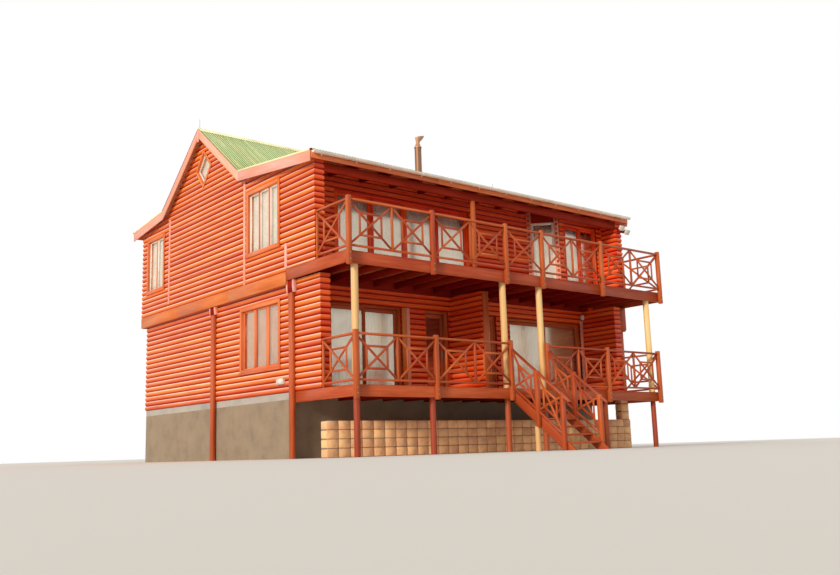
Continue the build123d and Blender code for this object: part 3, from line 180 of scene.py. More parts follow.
class Pile:
    """Points and faces of one piece, gathered from parts of the same finish.

    Each point carries its place in its own member's grain and a tone that the member has.
    """

    def __init__(self):
        self.points, self.grain, self.tone, self.faces, self.wrap = [], [], [], [], []
        self.count = 0

    def add(self, points, faces, grain, tone):
        points = np.asarray(points, float).reshape(-1, 3)
        self.points.append(points)
        self.grain.append(np.asarray(grain, float).reshape(-1, 3))
        self.tone.append(np.broadcast_to(np.asarray(tone, float).reshape(-1), len(points)))
        self.faces.extend(np.asarray(f, int) + self.count for f in faces)
        self.count += len(points)

    def object(self, name, slot, look, body="house", smooth=None, replaces=()):
        """Turns the pile into a mesh object that rides on a body."""
        mesh = bpy.data.meshes.new(name)
        points = np.concatenate(self.points)
        sizes = np.concatenate([np.full(len(f), f.shape[1]) for f in self.faces])
        corners = np.concatenate([f.reshape(-1) for f in self.faces])
        mesh.vertices.add(len(points))
        mesh.vertices.foreach_set("co", points.astype(np.float32).reshape(-1))
        mesh.loops.add(len(corners))
        mesh.loops.foreach_set("vertex_index", corners.astype(np.int32))
        mesh.polygons.add(len(sizes))
        starts = np.concatenate([[0], np.cumsum(sizes)[:-1]])
        mesh.polygons.foreach_set("loop_start", starts.astype(np.int32))
        mesh.update(calc_edges=True)
        grain = mesh.attributes.new("grain", "FLOAT_VECTOR", "POINT")
        grain.data.foreach_set("vector", np.concatenate(self.grain).astype(np.float32).reshape(-1))
        tone = mesh.attributes.new("tone", "FLOAT", "POINT")
        tone.data.foreach_set("value", np.concatenate(self.tone).astype(np.float32))
        mesh.validate()
        if smooth:
            mesh.polygons.foreach_set("use_smooth", np.ones(len(mesh.polygons), bool))
            mesh.set_sharp_from_angle(angle=math.radians(smooth))
        mesh.materials.append(finish(look))
        made = bpy.data.objects.new(name, mesh)
        bpy.context.scene.collection.objects.link(made)
        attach(made, body)
        if replaces:
            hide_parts(*replaces)
        return made


def timbers(pile, start, end, across, width, thick, chamfer=0.004, cut_start=None, cut_end=None):
    """Straight members with chamfered edges and ends, all at once.

    Formula: an eight-sided section, a rectangle with its corners cut back, is carried from
    start to end; each end is a plane, square to the member unless a cut normal is given, and
    the last step of the way shrinks the section by the chamfer.
    """
    start = np.atleast_2d(np.asarray(start, float))
    end = np.atleast_2d(np.asarray(end, float))
    count = max(len(start), len(end))
    start = np.broadcast_to(start, (count, 3))
    end = np.broadcast_to(end, (count, 3))
    axis = unit(end - start)
    side = np.broadcast_to(np.asarray(across, float), (count, 3))
    side = unit(side - axis * np.sum(side * axis, axis=1, keepdims=True))
    depth = np.cross(axis, side)
    half_w = np.broadcast_to(np.asarray(width, float), count)[:, None] / 2
    half_t = np.broadcast_to(np.asarray(thick, float), count)[:, None] / 2
    c = np.minimum(chamfer, 0.45 * np.minimum(half_w, half_t))
    sign_w = np.array([1, 1, 1, -1, -1, -1, -1, 1])
    sign_t = np.array([-1, 1, 1, 1, 1, -1, -1, -1])
    in_w = np.array([0, 0, 1, 1, 0, 0, 1, 1])
    u = sign_w * (half_w - c * in_w)
    v = sign_t * (half_t - c * (1 - in_w))
    length = np.linalg.norm(end - start, axis=1)[:, None]
    cuts = [
        axis if cut is None else unit(np.broadcast_to(np.asarray(cut, float), (count, 3)))
        for cut in (cut_start, cut_end)
    ]

    def ring(shrink, step, origin, cut):
        uu = u - np.sign(u) * shrink
        vv = v - np.sign(v) * shrink
        flat = uu[..., None] * side[:, None] + vv[..., None] * depth[:, None]
        lean = np.sum(flat * cut[:, None], axis=2) / np.sum(axis * cut, axis=1)[:, None]
        along = step - lean
        return origin[:, None] + flat + along[..., None] * axis[:, None], uu, vv, along

    rings = [
        ring(c, 0, start, cuts[0]),
        ring(0 * c, c, start, cuts[0]),
        ring(0 * c, -c, end, cuts[1]),
        ring(c, 0, end, cuts[1]),
    ]
    points = np.stack([r[0] for r in rings], axis=1)
    far = np.array([0, 0, 1, 1])[None, :, None] * length[:, None]
    along, wide, deep = (np.stack([r[part] for r in rings], axis=1) for part in (3, 1, 2))
    grain = at(along + far, wide, deep) + random.uniform(0, grain_shift, (count, 1, 1, 3))
    tone = np.repeat(random.uniform(0, 1, count), 8 * len(rings))
    pile.add(points, tube_faces(8, len(rings), count), grain, tone)


def round_bars(pile, start, end, radius, sides=16, rim=0.004, taper=1.0):
    """Round members with a rounded rim at each end.

    Formula: a circle is carried from start to end, and the last step shrinks it by the rim.
    """
    start = np.atleast_2d(np.asarray(start, float))
    end = np.atleast_2d(np.asarray(end, float))
    count = len(start)
    axis = unit(end - start)
    helper = np.where(np.abs(axis[:, 2:]) > 0.9, RIGHT, UP)
    side = unit(np.cross(helper, axis))
    other = np.cross(axis, side)
    length = np.linalg.norm(end - start, axis=1)
    radius = np.broadcast_to(np.asarray(radius, float), count)
    rim = np.minimum(rim, radius * 0.4)
    turn = np.linspace(0, 2 * math.pi, sides, endpoint=False)
    circle = np.cos(turn)[:, None] * side[:, None] + np.sin(turn)[:, None] * other[:, None]
    steps = [0 * length, rim, length - rim, length]
    sizes = [radius - rim, radius, radius * taper, radius * taper - rim]
    knots = list(zip(steps, sizes))
    rings = [start[:, None] + s[:, None, None] * axis[:, None] + q[:, None, None] * circle for s, q in knots]
    own = [at(s[:, None], q[:, None] * np.cos(turn), q[:, None] * np.sin(turn)) for s, q in knots]
    grain = np.stack(own, axis=1) + random.uniform(0, grain_shift, (count, 1, 1, 3))
    tone = np.repeat(random.uniform(0, 1, count), len(steps) * sides)
    pile.add(np.stack(rings, axis=1), tube_faces(sides, len(steps), count), grain, tone)


def carried(pile, path, section, tone=None):
    """A closed section carried along a path of whole cross-sections, with its two end faces.

    Formula: path is an array of rings, each ring the same section in its own place, and
    quads join neighbouring rings.
    """
    rings = np.asarray(path, float)
    count, size = rings.shape[:2]
    steps = np.linalg.norm(np.diff(rings.mean(axis=1), axis=0), axis=1)
    along = np.concatenate([[0], np.cumsum(steps)])
    section = np.asarray(section, float)
    grain = at(along[:, None], section[:, 0], section[:, 1]) + random.uniform(0, grain_shift, 3)
    tone = random.uniform(0, 1) if tone is None else tone
    pile.add(rings, tube_faces(size, count), grain, tone)


def shader(name, **values):
    """A new material with its Principled shader; _ stands for a space in an input's name."""
    material = bpy.data.materials.new(name)
    material.use_nodes = True
    tree = material.node_tree
    surface = tree.nodes["Principled BSDF"]
    for key, value in values.items():
        surface.inputs[key.replace("_", " ")].default_value = value
    return material, tree, surface


def node(tree, kind, settings=None, **inputs):
    """A shader node with its settings, and its inputs as values or links."""
    made = tree.nodes.new(kind)
    for key, value in (settings or {}).items():
        setattr(made, key, value)
    for key, value in inputs.items():
        socket = made.inputs[int(key[1:])] if key[0] == "i" and key[1:].isdigit() else made.inputs[key]
        if isinstance(value, bpy.types.NodeSocket):
            tree.links.new(value, socket)
        else:
            socket.default_value = value
    return made


def ramp(tree, factor, stops):
    """A colour ramp through (position, colour) stops."""
    made = node(tree, "ShaderNodeValToRGB", i0=factor)
    elements = made.color_ramp.elements
    while len(elements) < len(stops):
        elements.new(0.5)
    for element, (place, colour) in zip(elements, stops):
        element.position = place
        element.color = (*colour, 1)
    return made.outputs["Color"]


def scaled(tree, source, scale):
    """Coordinates stretched by a scale on each axis."""
    return node(tree, "ShaderNodeMapping", i0=source, Scale=scale).outputs["Vector"]


def noise(tree, vector, scale, detail=4.0, roughness=0.55, distortion=0.0):
    """Fractal noise in the range 0 to 1."""
    inputs = {"Scale": scale, "Detail": detail, "Roughness": roughness, "Distortion": distortion}
    return node(tree, "ShaderNodeTexNoise", Vector=vector, **inputs).outputs["Fac"]


def math_node(tree, operation, a, b):
    """One arithmetic step on shader values."""
    return node(tree, "ShaderNodeMath", {"operation": operation}, i0=a, i1=b).outputs["Value"]


def weighed(tree, a, share, b, other_share):
    """Two shader values added, each with its share."""
    parts = [math_node(tree, "MULTIPLY", value, part) for value, part in ((a, share), (b, other_share))]
    return math_node(tree, "ADD", *parts)


def spread(tree, value, low, high):
    """A 0 to 1 value mapped onto a range."""
    ends = {"To Min": low, "To Max": high}
    return node(tree, "ShaderNodeMapRange", Value=value, **ends).outputs["Result"]


def coordinates(tree, own=True):
    """The grain of a member, or the place in the model for a construction node."""
    if own:
        return node(tree, "ShaderNodeAttribute", {"attribute_name": "grain"}).outputs["Vector"]
    return node(tree, "ShaderNodeTexCoord").outputs["Object"]


def log_wall(pile, out, face, base, bottom, top, span, mitres=(0, 0), holes=(), skin=0.003, steps=9):
    """Half logs on one face of a wall.

    Formula: in each course the outline is an arc through both edges of the course that
    stands out by the bulge in the middle; each outline point runs from one end of the span
    to the other, where an end is a number or a function of height, and a mitred end moves
    out by as much as the outline stands out there. Holes are functions of height that give
    the part of the span that is open, with the heights between which they hold.
    """
    course = bpy.context.scene.cottage.log_course
    out = np.asarray(out, float)
    run = np.cross(UP, out)
    half = course / 2
    radius = (half**2 + bulge**2) / (2 * bulge)
    sign = run[0] + run[1]
    first = math.floor((bottom - base) / course + 1e-6)
    last = math.ceil((top - base) / course - 1e-6)
    ends = [end if callable(end) else (lambda z, e=end: np.full_like(z, e)) for end in span]
    for k in range(first, last):
        low = max(base + k * course, bottom)
        high = min(base + (k + 1) * course, top)
        edges = sorted({low, high, *(z for hole in holes for z in hole[1:] if low < z < high)})
        for below, above in zip(edges, edges[1:]):
            count = max(2, math.ceil(steps * (above - below) / course) + 1)
            turn_low = math.asin(np.clip((below - base - k * course - half) / radius, -1, 1))
            turn_high = math.asin(np.clip((above - base - k * course - half) / radius, -1, 1))
            z = base + k * course + half + radius * np.sin(np.linspace(turn_low, turn_high, count))
            up = z - base - k * course - half
            stand = np.sqrt(radius**2 - up**2) - radius + bulge
            middle = (below + above) / 2
            cuts = [ends[0](z) - mitres[0] * (stand + skin), ends[1](z) + mitres[1] * (stand + skin)]
            gaps = sorted(
                (hole[0](z) for hole in holes if hole[1] < middle < hole[2]),
                key=lambda gap: gap[0].mean(),
            )
            starts = [cuts[0]] + [gap[1] for gap in gaps]
            stops = [gap[0] for gap in gaps] + [cuts[1]]
            for s0, s1 in zip(starts, stops):
                if (s1 - s0).max() < 0.004:
                    continue
                s1 = np.maximum(s1, s0 + 0.0005)
                log_piece(pile, out, run, sign, face, z, stand + skin, s0, s1, up / half)


def log_piece(pile, out, run, sign, face, z, stand, low, high, wrap):
    """One half log: its outline points at both ends, closed by a flat back in the wall."""
    count = len(z)
    back = -log_seat
    a, b = (low, high) if sign > 0 else (high, low)
    axis = np.abs(run)
    normal_axis = np.abs(out)
    face_vector = normal_axis * face

    def row(s):
        front = axis * s[:, None] + face_vector + out * stand[:, None] + UP * z[:, None]
        rear = axis * s[[-1, 0], None] + face_vector + out * back + UP * z[[-1, 0], None]
        return np.concatenate([front, rear])

    rings = np.stack([row(a), row(b)])
    size = count + 2
    i = np.arange(size)
    j = (i + 1) % size
    quads = np.stack([i, i + size, j + size, j], axis=1)
    start = random.uniform(0, grain_shift, 3)
    section = np.concatenate([
        np.stack([stand, z - z.mean()], axis=1),
        np.array([[back, z[-1] - z.mean()], [back, z[0] - z.mean()]]),
    ])
    along = np.stack([np.concatenate([s, s[[-1, 0]]]) for s in (a, b)])
    grain = np.concatenate([along[..., None], np.broadcast_to(section, (2, size, 2))], axis=2)
    around = np.concatenate([wrap, [1, -1]]) / 2 + 0.5
    pile.add(
        rings.reshape(-1, 3),
        [quads, i[None, :], i[None, ::-1] + size],
        grain.reshape(-1, 3) + start,
        random.uniform(0, 1),
    )
    pile.wrap.append(np.tile(around, 2))


def log_object(pile, name, look):
    """A pile of logs as a piece, with the height of each point in its course."""
    made = pile.object(name, "logs", look, smooth=42)
    wrap = made.data.attributes.new("wrap", "FLOAT", "POINT")
    wrap.data.foreach_set("value", np.concatenate(pile.wrap).astype(np.float32))
    return made


def plank_plane(origin, right, out):
    """A plane on a wall: its origin, its direction to the right and its outward normal."""
    return np.asarray(origin, float), np.asarray(right, float), np.asarray(out, float)


def laid(plane, places, depth):
    """Points (right, up) on a plane, moved out by a depth."""
    origin, right, out = plane
    places = np.atleast_2d(np.asarray(places, float))
    depth = np.broadcast_to(np.asarray(depth, float), len(places))
    return origin + places[:, :1] * right + places[:, 1:] * UP + depth[:, None] * out


def boards_on(pile, plane, runs, width, thick, depth, chamfer=0.003):
    """Boards on a plane from (x0, z0, x1, z1) runs, flat on it, at a depth of their middle."""
    runs = np.atleast_2d(np.asarray(runs, float))
    start = laid(plane, runs[:, :2], depth)
    end = laid(plane, runs[:, 2:], depth)
    across = np.cross(plane[2], unit(end - start))
    timbers(pile, start, end, across, width, thick, chamfer)


def ring_runs(low_x, high_x, low_z, high_z, width):
    """The four middles of a frame's boards: uprights full height, rails between them."""
    half = width / 2
    return [
        (low_x + half, low_z, low_x + half, high_z),
        (high_x - half, low_z, high_x - half, high_z),
        (low_x + width, low_z + half, high_x - width, low_z + half),
        (low_x + width, high_z - half, high_x - width, high_z - half),
    ]


def member_tone(tree, colour, own, values):
    """A colour turned and dimmed by the tone of its member, on pieces that have tones."""
    if not own:
        return colour
    tone = node(tree, "ShaderNodeAttribute", {"attribute_name": "tone"}).outputs["Fac"]
    hue, value = spread(tree, tone, 0.494, 0.506), spread(tree, tone, *values)
    return node(tree, "ShaderNodeHueSaturation", Hue=hue, Value=value, Color=colour).outputs["Color"]


def mixed(tree, blend, factor, a, b):
    """Two colours mixed in a blend mode."""
    settings = {"data_type": "RGBA", "blend_type": blend}
    return node(tree, "ShaderNodeMix", settings, i0=factor, i6=a, i7=b).outputs[2]


def finished(tree, surface, colour, roughness, height, strength, distance):
    """Links a colour, a roughness and a relief to a shader."""
    tree.links.new(colour, surface.inputs["Base Color"])
    tree.links.new(roughness, surface.inputs["Roughness"])
    bump = node(tree, "ShaderNodeBump", Height=height, Strength=strength, Distance=distance)
    tree.links.new(bump.outputs["Normal"], surface.inputs["Normal"])


def wood(
    name, colour, roughness=(0.3, 0.5), coat=0.2, streak=(1.3, 26, 26), relief=0.25, own=True, highlight_and_bleach=None,
):
    """Stained timber.

    Long streaks come from noise stretched along the grain, a slow noise changes the depth of
    the stain, each member has its tone, and fine pores and streaks give the relief.
    """
    coats = {"Coat_Weight": coat, "Coat_Roughness": 0.22, "Specular_IOR_Level": 0.06 + 0.9 * coat}
    material, tree, surface = shader(name, **coats)
    place = coordinates(tree, own)
    streaks = noise(tree, scaled(tree, place, streak), 1.0, 6, 0.62, 0.4)
    patches = noise(tree, scaled(tree, place, (0.7, 3, 3)), 1.0, 3)
    depth = math_node(tree, "MULTIPLY_ADD", streaks, 0.62)
    tree.links.new(spread(tree, patches, -0.12, 0.5), depth.node.inputs[2])
    pale = np.minimum(colour + colour * (1 - colour) * (0.55, 0.95, 1.6), 1)
    shade = ramp(tree, depth, [(0.15, 0.75 * colour**1.5), (0.5, colour), (0.85, pale)])
    # Logs get their grooves darkened as painted shade and a pale upper band that is a painted highlight with
    # some sun bleaching.
    if highlight_and_bleach is not None:
        shade = log_shade(tree, shade, highlight_and_bleach, patches)
    pores = noise(tree, scaled(tree, place, (14, 160, 160)), 1.0, 3)
    height = math_node(tree, "ADD", math_node(tree, "MULTIPLY", pores, 0.35), streaks)
    shade = member_tone(tree, shade, own, (0.84, 1.12))
    finished(tree, surface, shade, spread(tree, streaks, *roughness), height, relief, 0.003)
    return material


def log_shade(tree, colour, highlight_and_bleach, patches):
    """Round a half log: painted shade, with some dirt, darkens the grooves, and a pale band on the upper side
    is a painted highlight with some sun bleaching.

    The wrap attribute gives the height in the course, from 0 at the lower groove to 1.
    """
    wrap = node(tree, "ShaderNodeAttribute", {"attribute_name": "wrap"}).outputs["Fac"]
    # Stops that darken the stain towards both grooves: painted shade, with some dirt.
    groove, edge, full = (0.2, 0.03, 0.03), (0.7, 0.34, 0.3), (1, 1, 1)
    stops = [(0, groove), (0.2, edge), (0.48, full), (0.88, full), (0.95, edge), (1, groove)]
    shaded = mixed(tree, "MULTIPLY", 1.0, colour, ramp(tree, wrap, stops))
    # Pale band on the upper side of each log: a painted highlight with some sun bleaching.
    stops = [(0.64, (0, 0, 0)), (0.77, full), (0.84, full), (0.93, (0, 0, 0))]
    side = ramp(tree, wrap, stops)
    highlight_and_bleach_mask = math_node(tree, "MULTIPLY", side, spread(tree, patches, 0.3 * highlight_and_bleach, 1.5 * highlight_and_bleach))
    highlight_and_bleach_colour = tuple(bpy.context.scene.cottage.highlight_and_bleach_stain)
    return mixed(tree, "MIX", highlight_and_bleach_mask, shaded, (*highlight_and_bleach_colour, 1))


def mottled(name, colour, scale, roughness=(0.6, 0.85), relief=0.4, distance=0.004, metal=0.0, own=False):
    """Plaster, block or paint: soft mottling with a fine grain in the relief."""
    material, tree, surface = shader(name, Metallic=metal)
    place = coordinates(tree, own)
    cloud = noise(tree, place, scale, 6, 0.6)
    grit = noise(tree, place, scale * 14, 4, 0.6)
    mix = weighed(tree, cloud, 0.75, grit, 0.25)
    shade = ramp(tree, mix, [(0.3, colour * 0.7), (0.5, colour), (0.75, np.minimum(colour * 1.22, 1))])
    shade = member_tone(tree, shade, own, (0.86, 1.12))
    finished(tree, surface, shade, spread(tree, cloud, *roughness), grit, relief, distance)
    return material


def corrugated(name, colour):
    """Paint on corrugated sheet: a painted highlight on the crests, painted shade in greener valleys, and
    streaks down the slope.
    """
    material, tree, surface = shader(name)
    place = coordinates(tree, False)
    across = node(tree, "ShaderNodeSeparateXYZ", Vector=place).outputs["X"]
    # A cosine across the corrugations lightens the crests and darkens the valleys: painted highlight and
    # painted shade.
    wave = math_node(tree, "COSINE", math_node(tree, "MULTIPLY", across, 2 * math.pi / sheet_pitch), 0)
    streaks = noise(tree, scaled(tree, place, (9, 0.5, 0.5)), 1.0, 5, 0.6)
    mix = math_node(tree, "ADD", math_node(tree, "MULTIPLY", streaks, 0.6), spread(tree, wave, 0.1, 0.46))
    valley = tuple(bpy.context.scene.cottage.shaded_valley_green)
    shade = ramp(tree, mix, [(0.42, valley), (0.6, colour), (0.85, np.minimum(colour * 1.2, 1))])
    finished(tree, surface, shade, spread(tree, streaks, 0.42, 0.62), noise(tree, place, 60, 3), 0.12, 0.002)
    return material


def clear_glass(name, colour):
    """Window glass: a thin mirroring film that the room shows through, with faint dust."""
    material, tree, surface = shader(name, Alpha=0.3, Metallic=1.0)
    dust = noise(tree, coordinates(tree, False), 3.0, 5, 0.6)
    tree.links.new(ramp(tree, dust, [(0.3, colour * 0.8), (0.7, colour)]), surface.inputs["Base Color"])
    tree.links.new(spread(tree, dust, 0.1, 0.2), surface.inputs["Roughness"])
    return material


def cloth(name, colour, scale, wide=1.0):
    """Woven cloth: crossed threads in colour and relief, with slow fading."""
    material, tree, surface = shader(name, Sheen_Weight=0.2)
    place = coordinates(tree)
    settings = {"wave_type": "BANDS", "bands_direction": "X"}
    warp = node(tree, "ShaderNodeTexWave", settings, Vector=place, Scale=scale * wide, Distortion=0.4)
    settings = {"wave_type": "BANDS", "bands_direction": "Y"}
    weft = node(tree, "ShaderNodeTexWave", settings, Vector=place, Scale=scale, Distortion=0.4)
    weave = math_node(tree, "MULTIPLY", warp.outputs["Fac"], weft.outputs["Fac"])
    fade = noise(tree, place, 1.2, 3)
    mix = weighed(tree, weave, 0.1, fade, 0.9)
    shade = ramp(tree, mix, [(0.2, colour * 0.88), (0.6, colour)])
    finished(tree, surface, shade, spread(tree, fade, 0.8, 0.9), weave, 0.06, 0.001)
    return material


# Each finish: its colour among the settings, its maker and what the maker is told
looks = {
    # The first two log looks are lit and shaded copies: the sunlit one carries a strong pale band, a painted
    # highlight with some bleaching; the sheltered colour, also used on the walls below, is partly a deeper
    # stain and partly painted warm light in shade.
    "stained_logs": ("log_stain", wood, (0.3, 0.5), 0.1, (1.1, 20, 20), 0.3, True, 0.85),
    "sheltered_and_shaded_logs": ("sheltered_and_shaded_stain", wood, (0.25, 0.42), 0.14, (1.1, 20, 20), 0.3, True, 0.14),
    "wall_stain_and_shade": ("sheltered_and_shaded_stain", wood, (0.4, 0.6), 0.0, (3, 3, 14), 0.25, False),
    "rail_stain": ("rail_stain", wood, (0.32, 0.52), 0.12),
    "trim_stain": ("trim_stain", wood, (0.38, 0.6), 0.08, (0.5, 7, 7), 0.12),
    "belt_stain": ("belt_stain", wood, (0.36, 0.56), 0.1, (0.7, 10, 10), 0.15),
    "deck_oil": ("deck_oil", wood, (0.5, 0.75), 0.0, (1.2, 24, 24), 0.35),
    "post_stain_and_shade": ("post_stain_and_shade", wood, (0.35, 0.55), 0.15, (0.8, 16, 16), 0.3),
    "pole_wood": ("pole_pine", wood, (0.35, 0.55), 0.15, (0.8, 16, 16), 0.3),
    # The soffit colour is the stain darkened as painted shade under cover.
    "soffit_stain_and_shade": ("soffit_stain_and_shade", wood, (0.5, 0.7), 0.0),
    "shaded_boards": ("soffit_stain_and_shade", wood, (0.5, 0.7), 0.0, (1.2, 14, 14), 0.2, False),
    "window_stain": ("window_stain", wood, (0.3, 0.5), 0.1),
    "sash_paint": ("sash_paint", mottled, 6, (0.3, 0.5), 0.1, 0.001, 0.0, True),
    "red_joinery": ("red_joinery", wood, (0.28, 0.46), 0.12),
    "brown_joinery": ("brown_joinery", wood, (0.3, 0.5), 0.1),
    "floor_boards": ("floor_oil", wood, (0.3, 0.5), 0.2, (1.2, 14, 14), 0.2, False),
    "foundation_plaster": ("plaster", mottled, 2.2),
    "block_face": ("block", mottled, 7, (0.75, 0.95), 0.7, 0.006, 0.0, True),
    "floor_screed": ("screed", mottled, 1.4, (0.4, 0.6), 0.15),
    "roof_paint": ("lit_crest_green", corrugated),
    "ridge_paint": ("ridge_green", mottled, 3, (0.6, 0.8), 0.1, 0.002),
    "gutter_paint": ("gutter_cream", mottled, 4, (0.3, 0.5), 0.1, 0.001),
    "flue_metal": ("flue_brown", mottled, 5, (0.35, 0.6), 0.15, 0.002, 0.5),
    "cowl_metal": ("cowl_brown", mottled, 5, (0.4, 0.6), 0.15, 0.002, 0.4),
    "zinc_fitting": ("zinc", mottled, 40, (0.35, 0.6), 0.1, 0.001, 0.9),
    "white_enamel": ("enamel", mottled, 8, (0.3, 0.5), 0.1, 0.001),
    "clear_glass": ("glass", clear_glass),
    "white_cotton": ("curtain_white", cloth, 180),
    "gold_cotton": ("curtain_gold", cloth, 180),
    "bamboo": ("bamboo", cloth, 16, 0.25),
}
finishes = {}


def finish(name):
    """A material of the table of looks, in its colour from the settings, made once."""
    if name not in finishes:
        colour, maker, *told = looks[name]
        finishes[name] = maker(name, np.array(getattr(bpy.context.scene.cottage, colour)), *told)
    return finishes[name]


# Windows; a gable window is (name, middle in Y, sill, width, height, lights)
casing_lap = 0.045
casing_width = 0.085
casing_stand = 0.022
lining_depth = wall + bulge
lining_board = 0.04
mullion = 0.058
mullion_depth = 0.06
sash_width = 0.034
sash_depth = 0.036
sill_reach = 0.03
sill_height = 0.03
window_height = 1.57
back_window_width = 1.52
upper_sill = 4.66
lower_sill = 1.975
back_window_middles = (upper_left + 2.66, upper_right - 2.66)
diamond_middle = (ridge_y, 7.45)
diamond_size = (0.9, 1.04)
gable_windows = (
    ("upper_front", front_face + 1.0, upper_sill, 1.52, window_height, 3),
    ("upper_rear", front_face + 6.975, upper_sill, 1.17, window_height, 2),
    ("lower", front_face + 1.36, lower_sill, 1.84, 1.545, 3),
)


def all_windows():
    """Every window as its name, plane at the crest of the logs, width, height and lights."""
    found = []
    for side, upper_crest, lower_crest in (
        (-1, left_crest, lower_deck_left),
        (1, right_crest, lower_deck_right),
    ):
        for name, y, sill, width, height, lights in gable_windows:
            crest = lower_crest if name == "lower" else upper_crest
            label = f"{'left' if side < 0 else 'right'}_{name}"
            plane = plank_plane((crest, y, sill + height / 2), BACK * side, RIGHT * side)
            found.append((label, plane, width, height, lights))
    for index, x in enumerate(back_window_middles):
        for name, crest, sill in (
            ("lower", lower_rear + bulge, lower_sill),
            ("upper", upper_rear + bulge, upper_sill),
        ):
            label = f"back_{name}_{index + 1}"
            plane = plank_plane((x, crest, sill + window_height / 2), -RIGHT, BACK)
            found.append((label, plane, back_window_width, window_height, 3))
    return found


def window_hole(middle, sill, width, height):
    """The opening of a window in a log wall, narrower than its casing by the lap."""
    half = width / 2 - casing_lap

    def gap(z):
        return np.full_like(z, middle - half), np.full_like(z, middle + half)

    return gap, sill + casing_lap, sill + height - casing_lap


def diamond_holes():
    """The two halves of the diamond opening, as functions of height."""
    y, z0 = diamond_middle
    half_w = diamond_size[0] / 2 - casing_lap
    half_h = half_w * diamond_size[1] / diamond_size[0]

    def gap(z):
        width = np.clip(half_w * (1 - np.abs(z - z0) / half_h), 0, None)
        return y - width, y + width

    return [(gap, z0 - half_h, z0), (gap, z0, z0 + half_h)]


def roof_front(z):
    """Where the underside of the roof reaches a height, on the front side."""
    under = roof_zs - roof_thickness
    return np.interp(z, under[:3], roof_ys[:3])


def roof_rear(z):
    """Where the underside of the roof reaches a height, on the back side."""
    under = roof_zs - roof_thickness
    return np.interp(z, under[4:1:-1], roof_ys[4:1:-1])


# Openings of the front, as distances from the crest of the upper left gable
lower_openings = [
    (left_crest + low, left_crest + high)
    for low, high in ((1.06, 3.17), (3.91, 4.65), (5.56, 6.3), (6.77, 9.6))
]
upper_doors = (left_crest + 1.29, left_crest + 5.48)
wing_left = left_crest + 4.74
wing_right = wing_left + 0.19
bay_left = left_crest + 7.65
bay_projection = 0.62
bay_corner = bay_left + bay_projection
bay_face = front_face - bay_projection
bay_door = (bay_corner + 0.16, bay_face + 0.02, 1.4)
door_y = front_face + 0.03


class COTTAGE_OT_logs(bpy.types.Operator):
    """Half logs on the gables, the back, the front and the wings of the walls"""

    bl_idname = "cottage.logs"
    bl_label = "Half logs"

    def execute(self, context):
        # Sunlit logs on the gables and the back; a shaded copy of the look, partly painted warm light in
        # shade, on the front and the wings.
        stain, sheltered_and_shaded = "stained_logs", "sheltered_and_shaded_logs"
        wing = wing_face
        for side, upper, lower, name in (
            (-1, upper_left, lower_left, "left"),
            (1, upper_right, lower_right, "right"),
        ):
            pile = Pile()
            out = RIGHT * side
            rows = {w[0]: window_hole(*w[1:5]) for w in gable_windows}
            log_wall(
                pile, out, lower, deck_top, deck_top, floor_bottom,
                (wing, lower_rear), (1, 1), [rows["lower"]],
            )
            start = lambda z: np.maximum(roof_front(z), wing)
            stop = lambda z: np.minimum(roof_rear(z), upper_rear)
            corner = float(roof_at(wing)) - roof_thickness
            log_wall(pile, out, upper, belt_top, belt_top, balcony_top, (front_face, upper_rear), (0, 1))
            log_wall(
                pile, out, upper, belt_top, balcony_top, corner,
                (wing, upper_rear), (1, 1), [rows["upper_front"], rows["upper_rear"]],
            )
            log_wall(
                pile, out, upper, belt_top, corner, ridge_z - roof_thickness,
                (start, stop), (0, 1), diamond_holes(),
            )
            log_object(pile, f"{name}_gable_logs", stain)
            pile = Pile()
            for face, base, bottom, top in (
                (lower, deck_top, deck_top, floor_bottom),
                (upper, belt_top, balcony_top, float(roof_at(front_face)) - roof_thickness),
            ):
                inner = face - side * wall
                limit = start if face == upper else wing
                log_wall(pile, -out, inner, base, bottom, top, (limit, front_crest), (1, 0))
                ends = sorted((face, inner))
                front_top = min(top, float(roof_at(wing)) - roof_thickness)
                log_wall(pile, -BACK, wing, base, bottom, front_top, ends, (1, 1))
            log_object(pile, f"{name}_wing_logs", sheltered_and_shaded)
        pile = Pile()
        rear_top = roof_at(upper_rear) - roof_thickness
        for face, base, top, span, sill in (
            (lower_rear, deck_top, floor_bottom, (lower_left, lower_right), lower_sill),
            (upper_rear, belt_top, rear_top, (upper_left, upper_right), upper_sill),
        ):
            holes = [window_hole(x, sill, back_window_width, window_height) for x in back_window_middles]
            log_wall(pile, BACK, face, base, base, top, span, (1, 1), holes)
        log_object(pile, "back_logs", stain)
        pile = Pile()
        lower_edges = (lower_left + wall, *(x for pair in lower_openings for x in pair), lower_right - wall)
        bay_edges = (bay_corner, bay_door[0], bay_door[0] + bay_door[2], upper_right - wall)
        for face, base, head, top, edges in (
            (front_face, deck_top, door_head, floor_bottom, lower_edges),
            (front_face, balcony_top, balcony_door_head, None, (upper_left + wall, *upper_doors, bay_left)),
            (bay_face, balcony_top, balcony_door_head, None, bay_edges),
        ):
            top = top or roof_at(face) - roof_thickness
            for low, high in zip(edges[::2], edges[1::2]):
                log_wall(pile, -BACK, face, base, base, head, (low, high))
            log_wall(pile, -BACK, face, base, head, top, (edges[0], edges[-1]))
        log_object(pile, "front_logs", sheltered_and_shaded)
        pile = Pile()
        for out, face in ((-RIGHT, wing_left), (RIGHT, wing_right)):
            log_wall(pile, out, face, deck_top, deck_top, floor_bottom, (wing, front_crest), (1, 0))
        log_wall(pile, -BACK, wing, deck_top, deck_top, floor_bottom, (wing_left, wing_right), (1, 1))
        log_object(pile, "middle_wing_logs", sheltered_and_shaded)
        return {"FINISHED"}


